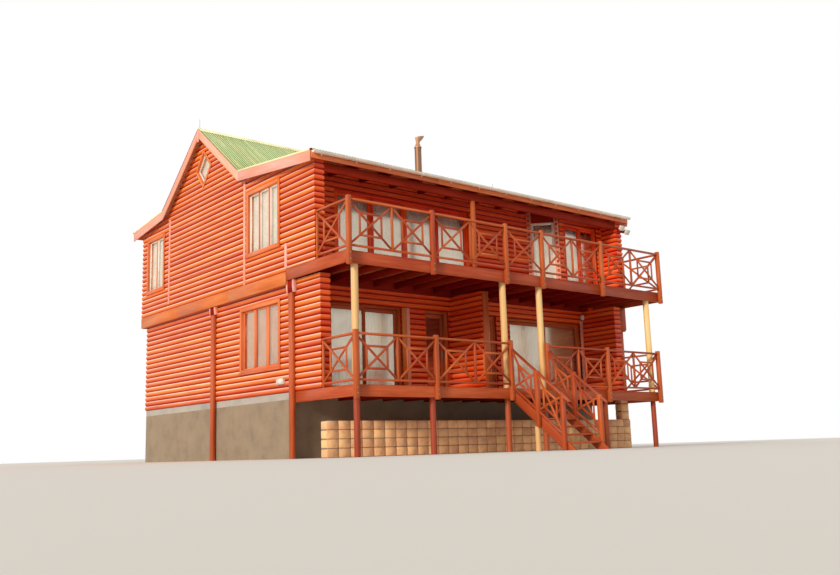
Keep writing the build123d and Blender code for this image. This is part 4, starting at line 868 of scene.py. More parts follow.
def plate(pile, plane, outline, thick, chamfer=0.004, depth=0.0):
    """A flat plate with a polygon outline and chamfered edges.

    Formula: the outline is carried outwards through four steps of depth, and in the first and
    last step every edge is moved in by the chamfer along its own normal. The outline runs
    counter-clockwise, seen from outside, as (right, up) on the plane.
    """
    outline = np.asarray(outline, float)
    forward = unit(np.roll(outline, -1, axis=0) - outline)
    backward = np.roll(forward, 1, axis=0)
    normal = np.stack([forward[:, 1], -forward[:, 0]], axis=1)
    before = np.stack([backward[:, 1], -backward[:, 0]], axis=1)
    bisector = (normal + before) / (1 + np.sum(normal * before, axis=1, keepdims=True))
    steps = ((chamfer, 0.0), (0.0, chamfer), (0.0, thick - chamfer), (chamfer, thick))
    rings = [laid(plane, outline - bisector * inset, depth - thick + step) for inset, step in steps]
    grain = np.concatenate([at(outline[:, 0], outline[:, 1], step) for _, step in steps])
    pile.add(
        np.concatenate(rings),
        tube_faces(len(outline), len(steps)),
        grain + random.uniform(0, grain_shift, 3),
        random.uniform(0, 1),
    )


def boxes(pile, low, high, along=0, chamfer=0.003):
    """Timbers parallel to an axis, from two opposite corners."""
    corners = np.broadcast_arrays(np.atleast_2d(low), np.atleast_2d(high))
    low, high = np.minimum(*corners).astype(float), np.maximum(*corners).astype(float)
    middle = (low + high) / 2
    size = high - low
    start, end = middle.copy(), middle.copy()
    start[:, along], end[:, along] = low[:, along], high[:, along]
    across = [axis for axis in range(3) if axis != along]
    side = np.zeros(3)
    side[across[0]] = 1
    timbers(pile, start, end, side, size[:, across[0]], size[:, across[1]], chamfer)


def domes(pile, centres, normal, radius, height, sides=8):
    """Bolt and screw heads: a low dome of two rings and a flat top on each centre.

    Formula: a circle is carried outwards along the normal and shrinks as the dome rises.
    """
    centres = np.atleast_2d(np.asarray(centres, float))
    axis = unit(np.broadcast_to(np.asarray(normal, float), centres.shape))
    round_bars(pile, centres - axis * 0.004, centres + axis * height, radius, sides, height * 0.6)


def crossed_panel(pile, origin, along, posts, bottom, top, slope=0.0):
    """Crossed panels between neighbouring posts, with their smaller inner frames.

    Formula: each panel is the unit square carried onto the gap between two posts, sheared by
    the slope; the diagonals join its corners, and the inner frame joins the points a quarter
    of the way in. The bars differ by a little in depth, so that none lies in another's face.
    """
    posts = np.asarray(posts, float)
    here, there = posts[:-1], posts[1:]
    along = np.asarray(along, float)
    facing = np.cross(along, UP)

    def place(u, v):
        s = here + u * (there - here)
        height = bottom + v * (top - bottom) + slope * (s - posts[0])
        return origin + s[:, None] * along + height[:, None] * UP

    low, high = 0.25, 0.75
    timbers(pile, place(0, 0), place(1, 1), facing, bar_depth, bar_width)
    timbers(pile, place(0, 1), place(1, 0), facing, bar_depth - 0.003, bar_width)
    corners = ((low, low), (high, low), (high, high), (low, high))
    for here_uv, there_uv in zip(corners, corners[1:] + corners[:1]):
        timbers(pile, place(*here_uv), place(*there_uv), facing, bar_depth - 0.006, bar_width)


def rail_run(pile, origin, along, posts, deck, rail_top):
    """A straight balustrade: crossed panels, a bottom rail and a handrail."""
    along = np.asarray(along, float)
    facing = np.cross(along, UP)
    base = deck + bottom_gap
    ends = [origin + s * along for s in (posts[0], posts[-1])]
    crossed_panel(pile, origin, along, posts, base, deck + rail_top - rail_height)
    timbers(pile, ends[0] + base * UP, ends[1] + base * UP, facing, bar_depth + 0.006, bar_width)
    level = (deck + rail_top - rail_height / 2) * UP
    timbers(pile, ends[0] + level, ends[1] + level, facing, rail_width, rail_height, 0.008)


def front_posts(thick):
    """Places of all posts of a front run: a thin one in the middle of each wide bay."""
    middles = [(a + b) / 2 for a, b in zip(thick, thick[1:]) if b - a > 1.8]
    return sorted([*thick, *middles]), middles


def front_balustrade(pile, bolts, thick, deck, rail_top, fascia):
    """Front run: thick posts bolted over the fascia, thin posts and crossed panels."""
    places, middles = front_posts(thick)
    origin = np.array([0, post_y, 0])
    rail_run(pile, origin, RIGHT, places, deck, rail_top)
    foot, head = at(thick, post_y, deck - fascia - 0.045), at(thick, post_y, deck + rail_top + 0.05)
    timbers(pile, foot, head, RIGHT, thick_post, thick_post, 0.007)
    if middles:
        foot = at(middles, post_y, deck + bottom_gap)
        head = at(middles, post_y, deck + rail_top - rail_height / 2)
        timbers(pile, foot, head, RIGHT, thin_post, thin_post, 0.004)
    front = post_y - thick_post / 2
    heads = [(x, front, deck - drop) for x in thick for drop in (0.07, fascia - 0.06)]
    domes(bolts, heads, -BACK, 0.013, 0.007)


lower_left_posts = [lower_deck_left + thick_post / 2, left_corner + wide_bay, stair_left]
lower_right_posts = [stair_right, stair_right + wide_bay, lower_deck_right - thick_post / 2]
upper_posts = [
    left_corner, left_corner + wide_bay, stair_left,
    stair_right, stair_right + wide_bay, right_corner,
]


class COTTAGE_OT_balustrades(bpy.types.Operator):
    """Crossed balustrades of both decks, with their posts and bolts"""

    bl_idname = "cottage.balustrades"
    bl_label = "Balustrades"

    def execute(self, context):
        stain = "rail_stain"
        bolts = Pile()
        pile = Pile()
        for posts in (lower_left_posts, lower_right_posts):
            front_balustrade(pile, bolts, posts, deck_top, lower_rail, deck_fascia)
        pile.object("deck_balustrade", "rails", stain, replaces=["lower_balustrade"])
        pile = Pile()
        front_balustrade(pile, bolts, upper_posts, balcony_top, upper_rail, balcony_fascia)
        pile.object("balcony_balustrade", "rails", stain, replaces=["upper_balustrade"])
        wing_crest = wing_face - bulge
        for name, xs, deck, rail_top, node_name in (
            ("deck_side_rails", (lower_left_posts[0], lower_right_posts[-1]), deck_top,
             lower_rail, "lower_side_rails"),
            ("balcony_side_rails", (left_corner, right_corner), balcony_top, upper_rail, "upper_side_rails"),
        ):
            pile = Pile()
            for x in xs:
                origin = np.array([x, 0, 0])
                rail_run(pile, origin, BACK, (deck_front, wing_crest - 0.001), deck, rail_top)
                boxes(
                    pile,
                    (x - thin_post / 2, wing_crest - thin_post, deck),
                    (x + thin_post / 2, wing_crest - 0.001, deck + rail_top - rail_height / 2),
                    2,
                )
            pile.object(name, "rails", stain, replaces=[node_name])
        bolts.object("post_bolts", "rails", "zinc_fitting", smooth=40)
        return {"FINISHED"}


def deck_frame(pile, joists, boards, left, right, top, fascia):
    """Fascia, joists and bearer of a deck, and its boards laid across the joists."""
    inner = deck_front + fascia_board
    under = top - floor_board
    boxes(pile, (left, deck_front, top - fascia), (right, inner, top), 0, 0.006)
    for x0, x1 in ((left, left + fascia_board), (right - fascia_board, right)):
        boxes(pile, (x0, inner, top - fascia), (x1, front_face, top - 0.001), 1, 0.005)
    count = round((right - left) / joist_pitch)
    xs = left + (right - left) / count * np.arange(1, count)
    half = joist_width / 2
    boxes(joists, at(xs - half, inner, under - joist_height), at(xs + half, front_face, under), 1, 0.003)
    low = (left + fascia_board, pole_y - 0.045, under - joist_height + 0.002)
    boxes(joists, low, (right - fascia_board, pole_y + 0.045, under - 0.002), 0)
    rows = math.floor((front_face - inner) / board_pitch)
    width = (front_face - inner - board_gap) / rows
    low, high = [], []
    for row in range(rows):
        joint = xs[random.integers(4, count - 5)]
        y0 = inner + board_gap + row * width
        for x0, x1 in ((left + 0.042, joint - 0.0015), (joint + 0.0015, right - 0.042)):
            low.append((x0, y0, under))
            high.append((x1, y0 + width - board_gap, top))
    boxes(boards, low, high, 0, 0.003)


pole_xs = np.array([lower_deck_left + 0.1685, stair_left, stair_right, lower_deck_right - 0.1685])
short_xs = np.array([
    pole_xs[0], left_corner + wide_bay, pole_xs[1], pole_xs[2], stair_right + wide_bay, pole_xs[3],
])


class COTTAGE_OT_decks(bpy.types.Operator):
    """Boards, joists and fascias of the deck and the balcony, and their round poles"""

    bl_idname = "cottage.decks"
    bl_label = "Decks and poles"

    def execute(self, context):
        for name, left, right, top, fascia, node_name in (
            ("deck", lower_deck_left, lower_deck_right, deck_top, deck_fascia, "lower_deck"),
            ("balcony", left_crest, right_crest, balcony_top, balcony_fascia, "upper_deck"),
        ):
            pile, joists, boards = Pile(), Pile(), Pile()
            deck_frame(pile, joists, boards, left, right, top, fascia)
            # Joists in the dark soffit colour: painted shade under the deck.
            joists.object(f"{name}_joists", "trim", "soffit_stain_and_shade")
            pile.object(f"{name}_frame", "trim", "rail_stain", replaces=[node_name])
            boards.object(f"{name}_boards", "deck_boards", "deck_oil")
        joist_foot = floor_board + joist_height
        pile = Pile()
        foot = at(pole_xs, pole_y, deck_top)
        head = foot * [1, 1, 0] + UP * (balcony_top - joist_foot)
        round_bars(pile, foot, head, pole_radius, 28, 0.006, 0.97)
        pile.object("round_poles", "poles", "pole_wood", smooth=40, replaces=["poles"])
        pile = Pile()
        foot = at(short_xs, pole_y, 0)
        round_bars(pile, foot, foot + UP * (deck_top - joist_foot), short_post_radius, 24, 0.006)
        # Short posts in a darker stain: painted shade under the deck.
        pile.object("short_round_posts", "poles", "post_stain_and_shade", smooth=40, replaces=["short_posts"])
        return {"FINISHED"}


class COTTAGE_OT_stair(bpy.types.Operator):
    """Garden stair: stringers, treads, props and raked crossed rails"""

    bl_idname = "cottage.stair"
    bl_label = "Garden stair"

    def execute(self, context):
        stain = "rail_stain"
        risers, going, string_width, string_drop = 8, 0.225, 0.05, 0.15
        riser = deck_top / risers
        slope = riser / going
        xs = np.array([stair_left + 0.0725, stair_right - 0.0725])
        turn = math.cos(math.atan(slope))
        run = (deck_top - string_drop) / slope
        start, end = at(xs, deck_front, deck_top - string_drop), at(xs, deck_front - run, 0)
        pile = Pile()
        timbers(pile, start, end, RIGHT, string_width, 0.26 * turn, 0.006, -BACK, -UP)
        pile.object("stair_strings", "rails", stain, replaces=["stair_stringers"])
        steps = np.arange(1, risers)
        nosing = deck_front - going * steps
        top = deck_top - riser * steps
        pile = Pile()
        boxes(pile, at(xs[0] + 0.026, nosing, top - 0.04), at(xs[1] - 0.026, nosing + 0.22, top), 0, 0.006)
        for x, side in ((xs[0] + string_width / 2, 1), (xs[1] - string_width / 2, -1)):
            low, high = sorted((x, x + side * 0.03))
            boxes(pile, at(low, nosing + 0.02, top - 0.08), at(high, nosing + 0.2, top - 0.0405), 1, 0.003)
        pile.object("stair_steps", "rails", stain, replaces=["stair_treads"])
        newels = deck_front - thick_post - np.array([1.42, 0.71])
        prop_radius = 0.06
        prop_y = newels[1] + thick_post / 2 + prop_radius + 0.006
        under = deck_top - 0.28 - (deck_front - prop_y + prop_radius) * slope
        pile = Pile()
        foot = at(xs, prop_y, 0)
        round_bars(pile, foot, foot + UP * under, prop_radius, 24, 0.005)
        pile.object("stair_round_props", "poles", "pole_wood", smooth=40, replaces=["stair_props"])

        def nose(y):
            return deck_top - (deck_front - y) * slope

        pile = Pile()
        for x in (stair_left, stair_right):
            rail_start = deck_front - thick_post
            knots = [*newels, rail_start]
            origin = np.array([x, 0, 0])
            low = nose(knots[0]) + bottom_gap
            rise = stair_rail - bottom_gap - rail_height
            crossed_panel(pile, origin, BACK, knots, low, low + rise, slope)
            foot, head = (x, knots[0], low), (x, knots[-1], nose(knots[-1]) + bottom_gap)
            timbers(pile, foot, head, RIGHT, bar_depth + 0.006, bar_width, 0.004, -BACK, BACK)
            end = newels[0] - 0.19
            level = stair_rail - rail_height / 2
            foot, head = (x, end, nose(end) + level), (x, rail_start, nose(rail_start) + level)
            timbers(pile, foot, head, RIGHT, rail_width, rail_height * turn, 0.006, -BACK, BACK)
            for y in newels:
                foot = max(deck_top - 0.28 - (deck_front - y) * slope + 0.02, 0)
                head = (x, y, nose(y) + stair_rail)
                timbers(pile, (x, y, foot), head, RIGHT, thick_post, thick_post, 0.007)
        pile.object("stair_side_rails", "rails", stain, replaces=["stair_rails"])
        return {"FINISHED"}


def beam_end(plates, ends, posts, x, side, reach, y):
    """A bevelled beam end between two thin plates, and the post under it."""
    low = floor_bottom - 0.28
    for pile, start, thick, inset in (
        (plates, -0.15, 0.05, 0), (ends, -0.1, 0.2, 0.007), (plates, 0.1, 0.05, 0),
    ):
        far = side * (reach - inset)
        outline = [
            (0, low), (side * 0.08, low), (far, low + 0.14), (far, floor_bottom), (0, floor_bottom),
        ][:: 1 if side > 0 else -1]
        plate(pile, front_plank(x, y + start, 0), outline, thick, 0.004)
    boxes(posts, (x, y - 0.075, 0), (x + side * 0.08, y + 0.075, low + 0.01), 2, 0.006)


class COTTAGE_OT_trims(bpy.types.Operator):
    """Belt boards, corbels, battens, barge boards, fascias, eave beam and rafters"""

    bl_idname = "cottage.trims"
    bl_label = "Trims and roof timbers"

    def execute(self, context):
        salmon = "trim_stain"
        pile = Pile()
        stand = bulge + 0.012
        for side, face in ((-1, upper_left), (1, upper_right)):
            edges = (front_face, front_face + 2.66, front_face + 5.46, upper_rear)
            for y0, y1 in zip(edges, edges[1:]):
                far = face + side * stand
                boxes(pile, (face, y0 + 0.001, belt_bottom), (far, y1 - 0.001, belt_top), 1, 0.005)
        pile.object("gable_belts", "trim", "belt_stain", replaces=["side_belts"])
        pile = Pile()
        edges = np.linspace(upper_left, upper_right, 4)
        for x0, x1 in zip(edges, edges[1:]):
            boxes(
                pile, (x0 + 0.001, upper_rear, belt_bottom),
                (x1 - 0.001, upper_rear + stand, belt_top), 0, 0.005,
            )
        pile.object("rear_belt", "trim", "belt_stain", replaces=["back_belt"])
        plates, ends, posts = Pile(), Pile(), Pile()
        left_reach, right_reach = lower_deck_left - upper_left, upper_right - lower_deck_right
        for x, side, reach, y in (
            (lower_deck_left, -1, left_reach, front_face - 0.1),
            (lower_deck_left, -1, left_reach, front_face + 3.58),
            (lower_deck_right, 1, right_reach, front_face + 3.58),
        ):
            beam_end(plates, ends, posts, x, side, reach, y)
        x, y = lower_deck_right, wing_face
        low = floor_bottom - 0.668
        outline = [(0, low), (0.222, low), (0.282, low + 0.06), (0.282, floor_bottom), (0, floor_bottom)]
        plate(posts, front_plank(x, y, 0), outline, 0.3, 0.006)
        boxes(posts, (x + 0.066, y + 0.075, 0), (x + 0.216, y + 0.225, low + 0.01), 2, 0.006)
        # The beam ends between the plates take the dark soffit colour: painted shade under the belt.
        ends.object("corbel_beam_ends", "trim", "soffit_stain_and_shade")
        posts.object("corbel_posts", "trim", "rail_stain", replaces=["corbels"])
        for side, crest in ((-1, left_crest), (1, right_crest)):
            for y, low, high in ((1.77, belt_top, 6.535), (5.98, 4.185, 6.535), (-0.1, balcony_top, 4.66)):
                x0, x1 = crest - side * bulge, crest + side * 0.014
                boxes(plates, (x0, y - 0.04, low), (x1, y + 0.04, high), 2, 0.004)
        plates.object("gable_battens", "trim", salmon, replaces=["gable_boards"])
        pile = Pile()
        low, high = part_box("middle_wing_board")
        boxes(pile, low, high, 2, 0.004)
        pile.object("middle_wing_trim", "trim", "rail_stain", replaces=["middle_wing_board"])
        strips, board = Pile(), Pile()
        y = front_crest - 0.018
        for pile, x0, x1, top in (
            (strips, lower_openings[3][1] + 0.005, lower_openings[3][1] + 0.115, door_head + 0.1),
            (strips, lower_openings[0][1] + 0.14, lower_openings[0][1] + 0.235, door_head),
            (board, lower_openings[0][1] + 0.003, lower_openings[0][1] + 0.125, door_head),
        ):
            boxes(pile, (x0, y, deck_top), (x1, front_face, top), 2, 0.004)
        strips.object("slider_side_strips", "trim", salmon)
        board.object("slider_side_board", "trim", "belt_stain")
        pile = Pile()
        for x, side in ((roof_left, -1), (roof_right, 1)):
            for (y0, z0), (y1, z1) in zip(zip(roof_ys, roof_zs), zip(roof_ys[1:], roof_zs[1:])):
                turn = math.cos(math.atan2(z1 - z0, y1 - y0))
                middle = x + side * 0.013
                start, end = (middle, y0, z0 - 0.125), (middle, y1, z1 - 0.125)
                timbers(pile, start, end, RIGHT, 0.026, 0.24 * turn, 0.004, -BACK, BACK)
            x0, x1 = x + side * 0.025, x + side * 0.0315
            boxes(pile, (x0, ridge_y - 0.05, ridge_z - 0.36), (x1, ridge_y + 0.05, ridge_z - 0.03), 2, 0.002)
        pile.object("rake_boards", "trim", salmon, replaces=["barge_boards"])
        pile = Pile()
        for x in (roof_left - 0.0275, roof_right + 0.0275):
            start = at(x, roof_ys[[0, 3]], roof_zs[[0, 3]] + 0.009)
            end = at(x, roof_ys[[1, 4]], roof_zs[[1, 4]] + 0.009)
            timbers(pile, start, end, RIGHT, 0.007, 0.036, 0.002, -BACK, BACK)
        pile.object("sheet_edge_strips", "roof_sheet", "ridge_paint")
        pile = Pile()
        for y, side in ((front_eave_y, -1), (rear_eave_y, 1)):
            top = float(roof_at(y))
            edges = np.linspace(roof_left, roof_right, 4)
            for x0, x1 in zip(edges, edges[1:]):
                far = y + side * 0.032
                boxes(pile, (x0 + 0.0005, y, top - 0.17), (x1 - 0.0005, far, top - 0.004), 0, 0.004)
        pile.object("eave_boards", "trim", "window_stain", replaces=["fascias"])
        pile = Pile()
        y0 = wing_face - bulge + 0.005
        under = roof_thickness + 0.13
        top = float(roof_at(y0)) - under
        ends = (upper_left + wall + bulge, upper_right - wall - bulge)
        boxes(pile, (ends[0], y0, top - 0.19), (ends[1], y0 + 0.07, top), 0, 0.006)
        # Beam in the dark soffit colour: painted shade under the roof.
        pile.object("balcony_beam", "trim", "soffit_stain_and_shade", replaces=["eave_beam"])
        pile = Pile()
        x = left_crest + 4.6
        boxes(pile, (x - 0.0575, y0, balcony_top), (x + 0.0575, y0 + 0.07, top - 0.189), 2, 0.006)
        pile.object("balcony_beam_post", "trim", "rail_stain")
        pile = Pile()
        count = round((ends[1] - ends[0]) / 0.9)
        xs = ends[0] + (ends[1] - ends[0]) / count * np.arange(1, count)
        into_bay = np.clip(xs + 0.025 - bay_left, 0, bay_projection)
        stop = np.minimum(front_crest, front_face - into_bay)
        drop = roof_thickness + 0.065
        start = at(xs, front_eave_y, roof_at(front_eave_y) - drop)
        end = at(xs, stop, roof_at(stop) - drop)
        turn = math.cos(math.atan(lean_slope))
        timbers(pile, start, end, RIGHT, 0.05, 0.129 * turn, 0.004, -BACK, BACK)
        # Rafters in the dark soffit colour: painted shade under the roof.
        pile.object("balcony_rafters", "trim", "soffit_stain_and_shade", replaces=["rafters"])
        return {"FINISHED"}


def wave_height(x):
    """Height of the corrugations above the roof line."""
    return sheet_wave * (1.02 + np.cos(2 * math.pi * x / sheet_pitch)) + 0.002


def grid_quads(rows, count):
    """Faces of a grid of points, counter-clockwise over its columns and rows."""
    i = np.arange(rows - 1)[:, None] * count + np.arange(count - 1)
    return np.stack([i, i + 1, i + count + 1, i + count], axis=-1).reshape(-1, 4)


def roof_sheet(name, y0, y1):
    """One slope of corrugated sheets.

    Formula: over a grid of X along the eave and Y up the slope, the height is the roof line
    plus a cosine of X. Sheets lap every eleven corrugations, where the upper one lies higher.
    """
    columns = int((roof_right - roof_left + 2 * sheet_reach) / sheet_pitch * 8)
    xs = np.linspace(roof_left - sheet_reach, roof_right + sheet_reach, columns)
    ys = np.linspace(y0, y1, 4)
    x, y = np.meshgrid(xs, ys)
    lap = 0.0022 * np.mod(x / (sheet_pitch * 11), 1.0)
    z = roof_at(y) + wave_height(x) + lap
    pile = Pile()
    grain = np.stack([x, y, z], axis=-1).reshape(-1, 3)
    pile.add(grain, [grid_quads(*x.shape)], grain, 0.5)
    made = pile.object(name, "roof_sheet", "roof_paint", smooth=60)
    solid = made.modifiers.new("sheet_gauge", "SOLIDIFY")
    solid.thickness = 0.0012
    solid.offset = -1
    # The sheet's underside takes the dark soffit colour: painted shade in the hollows seen from below.
    solid.material_offset = 1
    made.data.materials.append(finish("soffit_stain_and_shade"))
    return made


def channel(pile, x0, x1, section):
    """A section in Y and Z carried from one X to another."""
    section = np.asarray(section, float)
    rings = np.stack([np.insert(section, 0, x, axis=1) for x in (x0, x1)])
    carried(pile, rings, section, 0.5)


def band(points, thick):
    """A closed section: a line of points and the same line moved by a thickness to its left.

    Formula: each point moves along the mean normal of the two steps beside it.
    """
    points = np.asarray(points, float)
    steps = unit(np.diff(points, axis=0))
    normals = np.stack([-steps[:, 1], steps[:, 0]], axis=1)
    mean = np.concatenate([normals[:1], unit(normals[1:] + normals[:-1]), normals[-1:]])
    return np.concatenate([points, (points + mean * thick)[::-1]])


def stack(pile, foot, rings):
    """A surface through ellipses above one another, closed at both ends.

    Formula: each ring is (shift in X, half length in X, half width in Y, height, lean about Y).
    """
    turn = np.linspace(0, 2 * math.pi, 40, endpoint=False)
    x, a, b, z, lean = np.array(rings, float).T[..., None]
    across = a * np.cos(turn)
    path = np.stack([x + across * np.cos(lean), b * np.sin(turn), z + across * np.sin(lean)], axis=2)
    carried(pile, path + np.array(foot), np.stack([turn, 0 * turn], 1) * flue_radius)


class COTTAGE_OT_roof(bpy.types.Operator):
    """Corrugated sheets, ridge capping with its rods, gutters and the flue"""

    bl_idname = "cottage.roof"
    bl_label = "Roof"

    def execute(self, context):
        over = 0.075
        roof_sheet("front_shallow_sheets", front_eave_y - over, knee_y + 0.02)
        roof_sheet("front_steep_sheets", knee_y, ridge_y - 0.03)
        roof_sheet("back_steep_sheets", ridge_y + 0.03, back_knee_y)
        roof_sheet("back_shallow_sheets", back_knee_y - 0.02, rear_eave_y + over)
        crest = 2.02 * sheet_wave + 0.003
        screws = Pile()
        xs = np.arange(roof_left + 0.04, roof_right, sheet_pitch * 3)
        xs = np.round(xs / sheet_pitch) * sheet_pitch
        xs = xs[np.abs(xs) < roof_right]
        for y in (-1.25, -0.5, 0.3, 1.1, 1.7, 2.0, 2.9, 3.7, 4.2, 5.0, 5.9, 6.3, 7.1, 7.9):
            slope = (roof_at(y + 0.01) - roof_at(y - 0.01)) / 0.02
            normal = unit(np.array([0, -slope, 1.0]))
            domes(screws, at(xs, y, roof_at(y) + crest), normal, 0.008, 0.005, 6)
        screws.object("roof_screws", "roof_sheet", "roof_paint", smooth=40)
        pile = Pile()
        top = ridge_z + crest + 0.004
        steep = (ridge_z - knee_z) / (ridge_y - knee_y)
        leg = 0.135
        flat = 0.02
        half = ((leg + 0.006, leg, -0.012), (leg, leg, 0), (flat, flat, 0), (flat * 0.6, flat, 0.01))
        sides = [(1, *row) for row in half] + [(1, 0, flat, 0.014)] + [(-1, *row) for row in half[::-1]]
        line = [(ridge_y + side * out, top - steep * fall + lift) for side, out, fall, lift in sides]
        channel(pile, roof_left - sheet_reach, roof_right + sheet_reach, band(line, 0.0015)[::-1])
        pile.object("ridge_capping", "roof_sheet", "ridge_paint", replaces=["ridge_cap"])
        pile = Pile()
        foot = np.array([(x, ridge_y, ridge_z + 0.01) for x in (roof_left + 0.016, roof_right - 0.016)])
        round_bars(pile, foot, foot * [1, 1, 0] + UP * (ridge_z + 0.268), 0.008, 12, 0.003)
        round_bars(pile, foot + UP * 0.005, foot + UP * 0.02, 0.02, 16, 0.003)
        pile.object("ridge_rods", "roof_sheet", "zinc_fitting", smooth=40)
        low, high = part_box("flue")
        middle = (low + high) / 2 * Vector((1, 1, 0))
        pile = Pile()
        radius = flue_radius
        stack(pile, middle, [(0, radius, radius, low.z, 0), (0, radius, radius, high.z, 0)])
        pile.object("round_flue", "flue_metal", "flue_metal", smooth=40, replaces=["flue"])
        mouth = math.radians(14)
        collar, neck = radius + 0.012, 0.05
        throat = ((radius, 0), (collar, 0), (collar, 0.025), (radius, 0.026), (0.052, 0.12), (neck, 0.145))
        rings = [(0, size, size, height, 0) for size, height in throat]
        for t in np.linspace(0.2, 1, 8):
            s = t * t * (3 - 2 * t)
            rings.append((0.07 * s, neck + 0.088 * s, neck + 0.038 * s, 0.145 + 0.188 * t, mouth * s))
        rings += [(0.07, 0.13, 0.08, 0.333, mouth), (0.05, 0.11, 0.065, 0.26, mouth)]
        pile = Pile()
        stack(pile, middle, [(x, a, b, high.z + z, lean) for x, a, b, z, lean in rings])
        pile.object("round_cowl", "flue_metal", "cowl_metal", smooth=40, replaces=["flue_cowl"])
        pile = Pile()
        turn = np.linspace(math.pi, 2 * math.pi, 15)
        half_round = np.stack([np.cos(turn), np.sin(turn)], 1)
        gutters = [
            (y, side, np.array([y + side * gutter_reach, float(roof_at(y)) - gutter_drop]))
            for y, side in ((front_eave_y, -1), (rear_eave_y, 1))
        ]
        for y, side, middle in gutters:
            trough = middle + gutter_radius * half_round
            bead = np.linspace(0.3, 2 * math.pi, 8)
            outer = trough[-1] if side > 0 else trough[0]
            channel(pile, roof_left, roof_right, band(trough, 0.003)[::-1])
            rim = outer + np.array([0, 0.002]) + 0.005 * np.stack([np.cos(bead), np.sin(bead)], 1)
            channel(pile, roof_left, roof_right, rim)
            cap = middle + (gutter_radius - 0.0005) * half_round
            for x0, x1 in ((roof_left - 0.002, roof_left + 0.002), (roof_right - 0.002, roof_right + 0.002)):
                channel(pile, x0, x1, cap)
        pile.object("half_round_gutters", "gutter", "gutter_paint", smooth=50, replaces=["gutters"])
        pile = Pile()
        for y, side, middle in gutters:
            strap = middle + (gutter_radius + 0.003) * half_round
            for x in np.linspace(roof_left + 0.25, roof_right - 0.25, 12):
                channel(pile, x - 0.013, x + 0.013, band(strap, 0.003)[::-1])
                low, high = (x - 0.013, y + side * 0.033), (x + 0.013, y + side * 0.04)
                boxes(pile, (*low, middle[1] - 0.07), (*high, middle[1] + 0.01), 2, 0.001)
        pile.object("gutter_brackets", "gutter", "gutter_paint", smooth=50)
        return {"FINISHED"}


def window_joinery(pile, sashes, plane, width, height, lights):
    """Casing, deep lining, mullions, sashes and sill of a window on the crest of the logs."""
    half_w, half_h = width / 2, height / 2
    outer = ring_runs(-half_w, half_w, -half_h, half_h, casing_width)
    boards_on(pile, plane, outer, casing_width, casing_stand, casing_stand / 2, 0.005)
    out = plane[2]
    lap_w, lap_h = half_w - casing_lap, half_h - casing_lap
    runs = np.asarray(ring_runs(-lap_w, lap_w, -lap_h, lap_h, lining_board))
    timbers(
        pile, laid(plane, runs[:, :2], -lining_depth / 2), laid(plane, runs[:, 2:], -lining_depth / 2),
        out, lining_depth - 0.002, lining_board, 0.002,
    )
    inner_w = half_w - casing_width
    inner_h = half_h - casing_width
    middles = -inner_w + 2 * inner_w / lights * np.arange(1, lights)
    runs = np.stack([middles, np.full_like(middles, -inner_h), middles, np.full_like(middles, inner_h)], 1)
    boards_on(pile, plane, runs, mullion, mullion_depth, -0.06, 0.006)
    lows = np.concatenate([[-inner_w], middles + mullion / 2])
    highs = np.concatenate([middles - mullion / 2, [inner_w]])
    for low, high in zip(lows, highs):
        runs = ring_runs(low, high, -inner_h, inner_h, sash_width)
        boards_on(sashes, plane, runs, sash_width, sash_depth, -0.062, 0.004)
    reach, foot = half_w + sill_reach, -half_h - 0.014
    sill = laid(plane, [(-reach, foot), (reach, foot)], 0.018)
    timbers(pile, sill[0], sill[1], out, 0.062, sill_height, 0.006)


def lozenge(inset):
    """Corners of the diamond window, inset from its outer casing."""
    a = diamond_size[0] / 2 - inset
    b = a * diamond_size[1] / diamond_size[0]
    return np.array([(a, 0), (0, b), (-a, 0), (0, -b)])


def lozenge_ring(pile, plane, inset, width, depth, low):
    """Four mitred boards along a lozenge, between two depths."""
    right, out = plane[1], plane[2]
    points = laid(plane, lozenge(inset), low + depth / 2)
    for i in range(4):
        start, end = points[i], points[(i + 1) % 4]
        cuts = (UP, right) if i % 2 == 0 else (right, UP)
        timbers(pile, start, end, out, depth, width, 0.004, *cuts)


class COTTAGE_OT_windows(bpy.types.Operator):
    """Casings, linings, mullions and sashes of the gable and back windows"""

    bl_idname = "cottage.windows"
    bl_label = "Windows"

    def execute(self, context):
        pile, sashes, lower_sashes = Pile(), Pile(), Pile()
        for label, plane, width, height, lights in all_windows():
            own = lower_sashes if label.endswith("t_lower") else sashes
            window_joinery(pile, own, plane, width, height, lights)
        for crest, side in ((left_crest, -1), (right_crest, 1)):
            plane = plank_plane((crest, *diamond_middle), BACK * side, RIGHT * side)
            lozenge_ring(pile, plane, 0.0425, 0.064, casing_stand, 0.0)
            lozenge_ring(pile, plane, 0.065, 0.03, lining_depth - 0.002, -lining_depth + 0.001)
            lozenge_ring(sashes, plane, 0.098, 0.026, sash_depth, -0.08)
            plate(sashes, plane, lozenge(0.075), 0.012, 0.003, -0.1)
        pile.object("window_joinery", "window_wood", "window_stain", replaces=["window_frames"])
        sashes.object("window_sashes", "window_wood", "sash_paint")
        lower_sashes.object("lower_window_sashes", "window_wood", "window_stain")
        return {"FINISHED"}


outer_leaf_y = door_y + 0.015
inner_leaf_y = outer_leaf_y + 0.046
door_frame = 0.06
door_depth = 0.14
door_sill = 0.04
leaf_thickness = 0.04
leaf_gap = 0.006
stile = 0.075
lower_rail_height = 0.11
upper_rail_height = 0.15
curtain_top = 1.98
bay_rail_height = 0.36
lower_door_height = door_head - deck_top
upper_door_height = balcony_door_head - balcony_top
leaf_top = lower_door_height - door_frame
cant_length = bay_projection * math.sqrt(2)
cant = math.sqrt(0.5) * np.array([1, -1, 0]), math.sqrt(0.5) * np.array([-1, -1, 0])


def front_plank(low, y, bottom):
    """Plane that faces the garden, with its corner at the foot of an opening."""
    return plank_plane((low, y, bottom), RIGHT, -BACK)


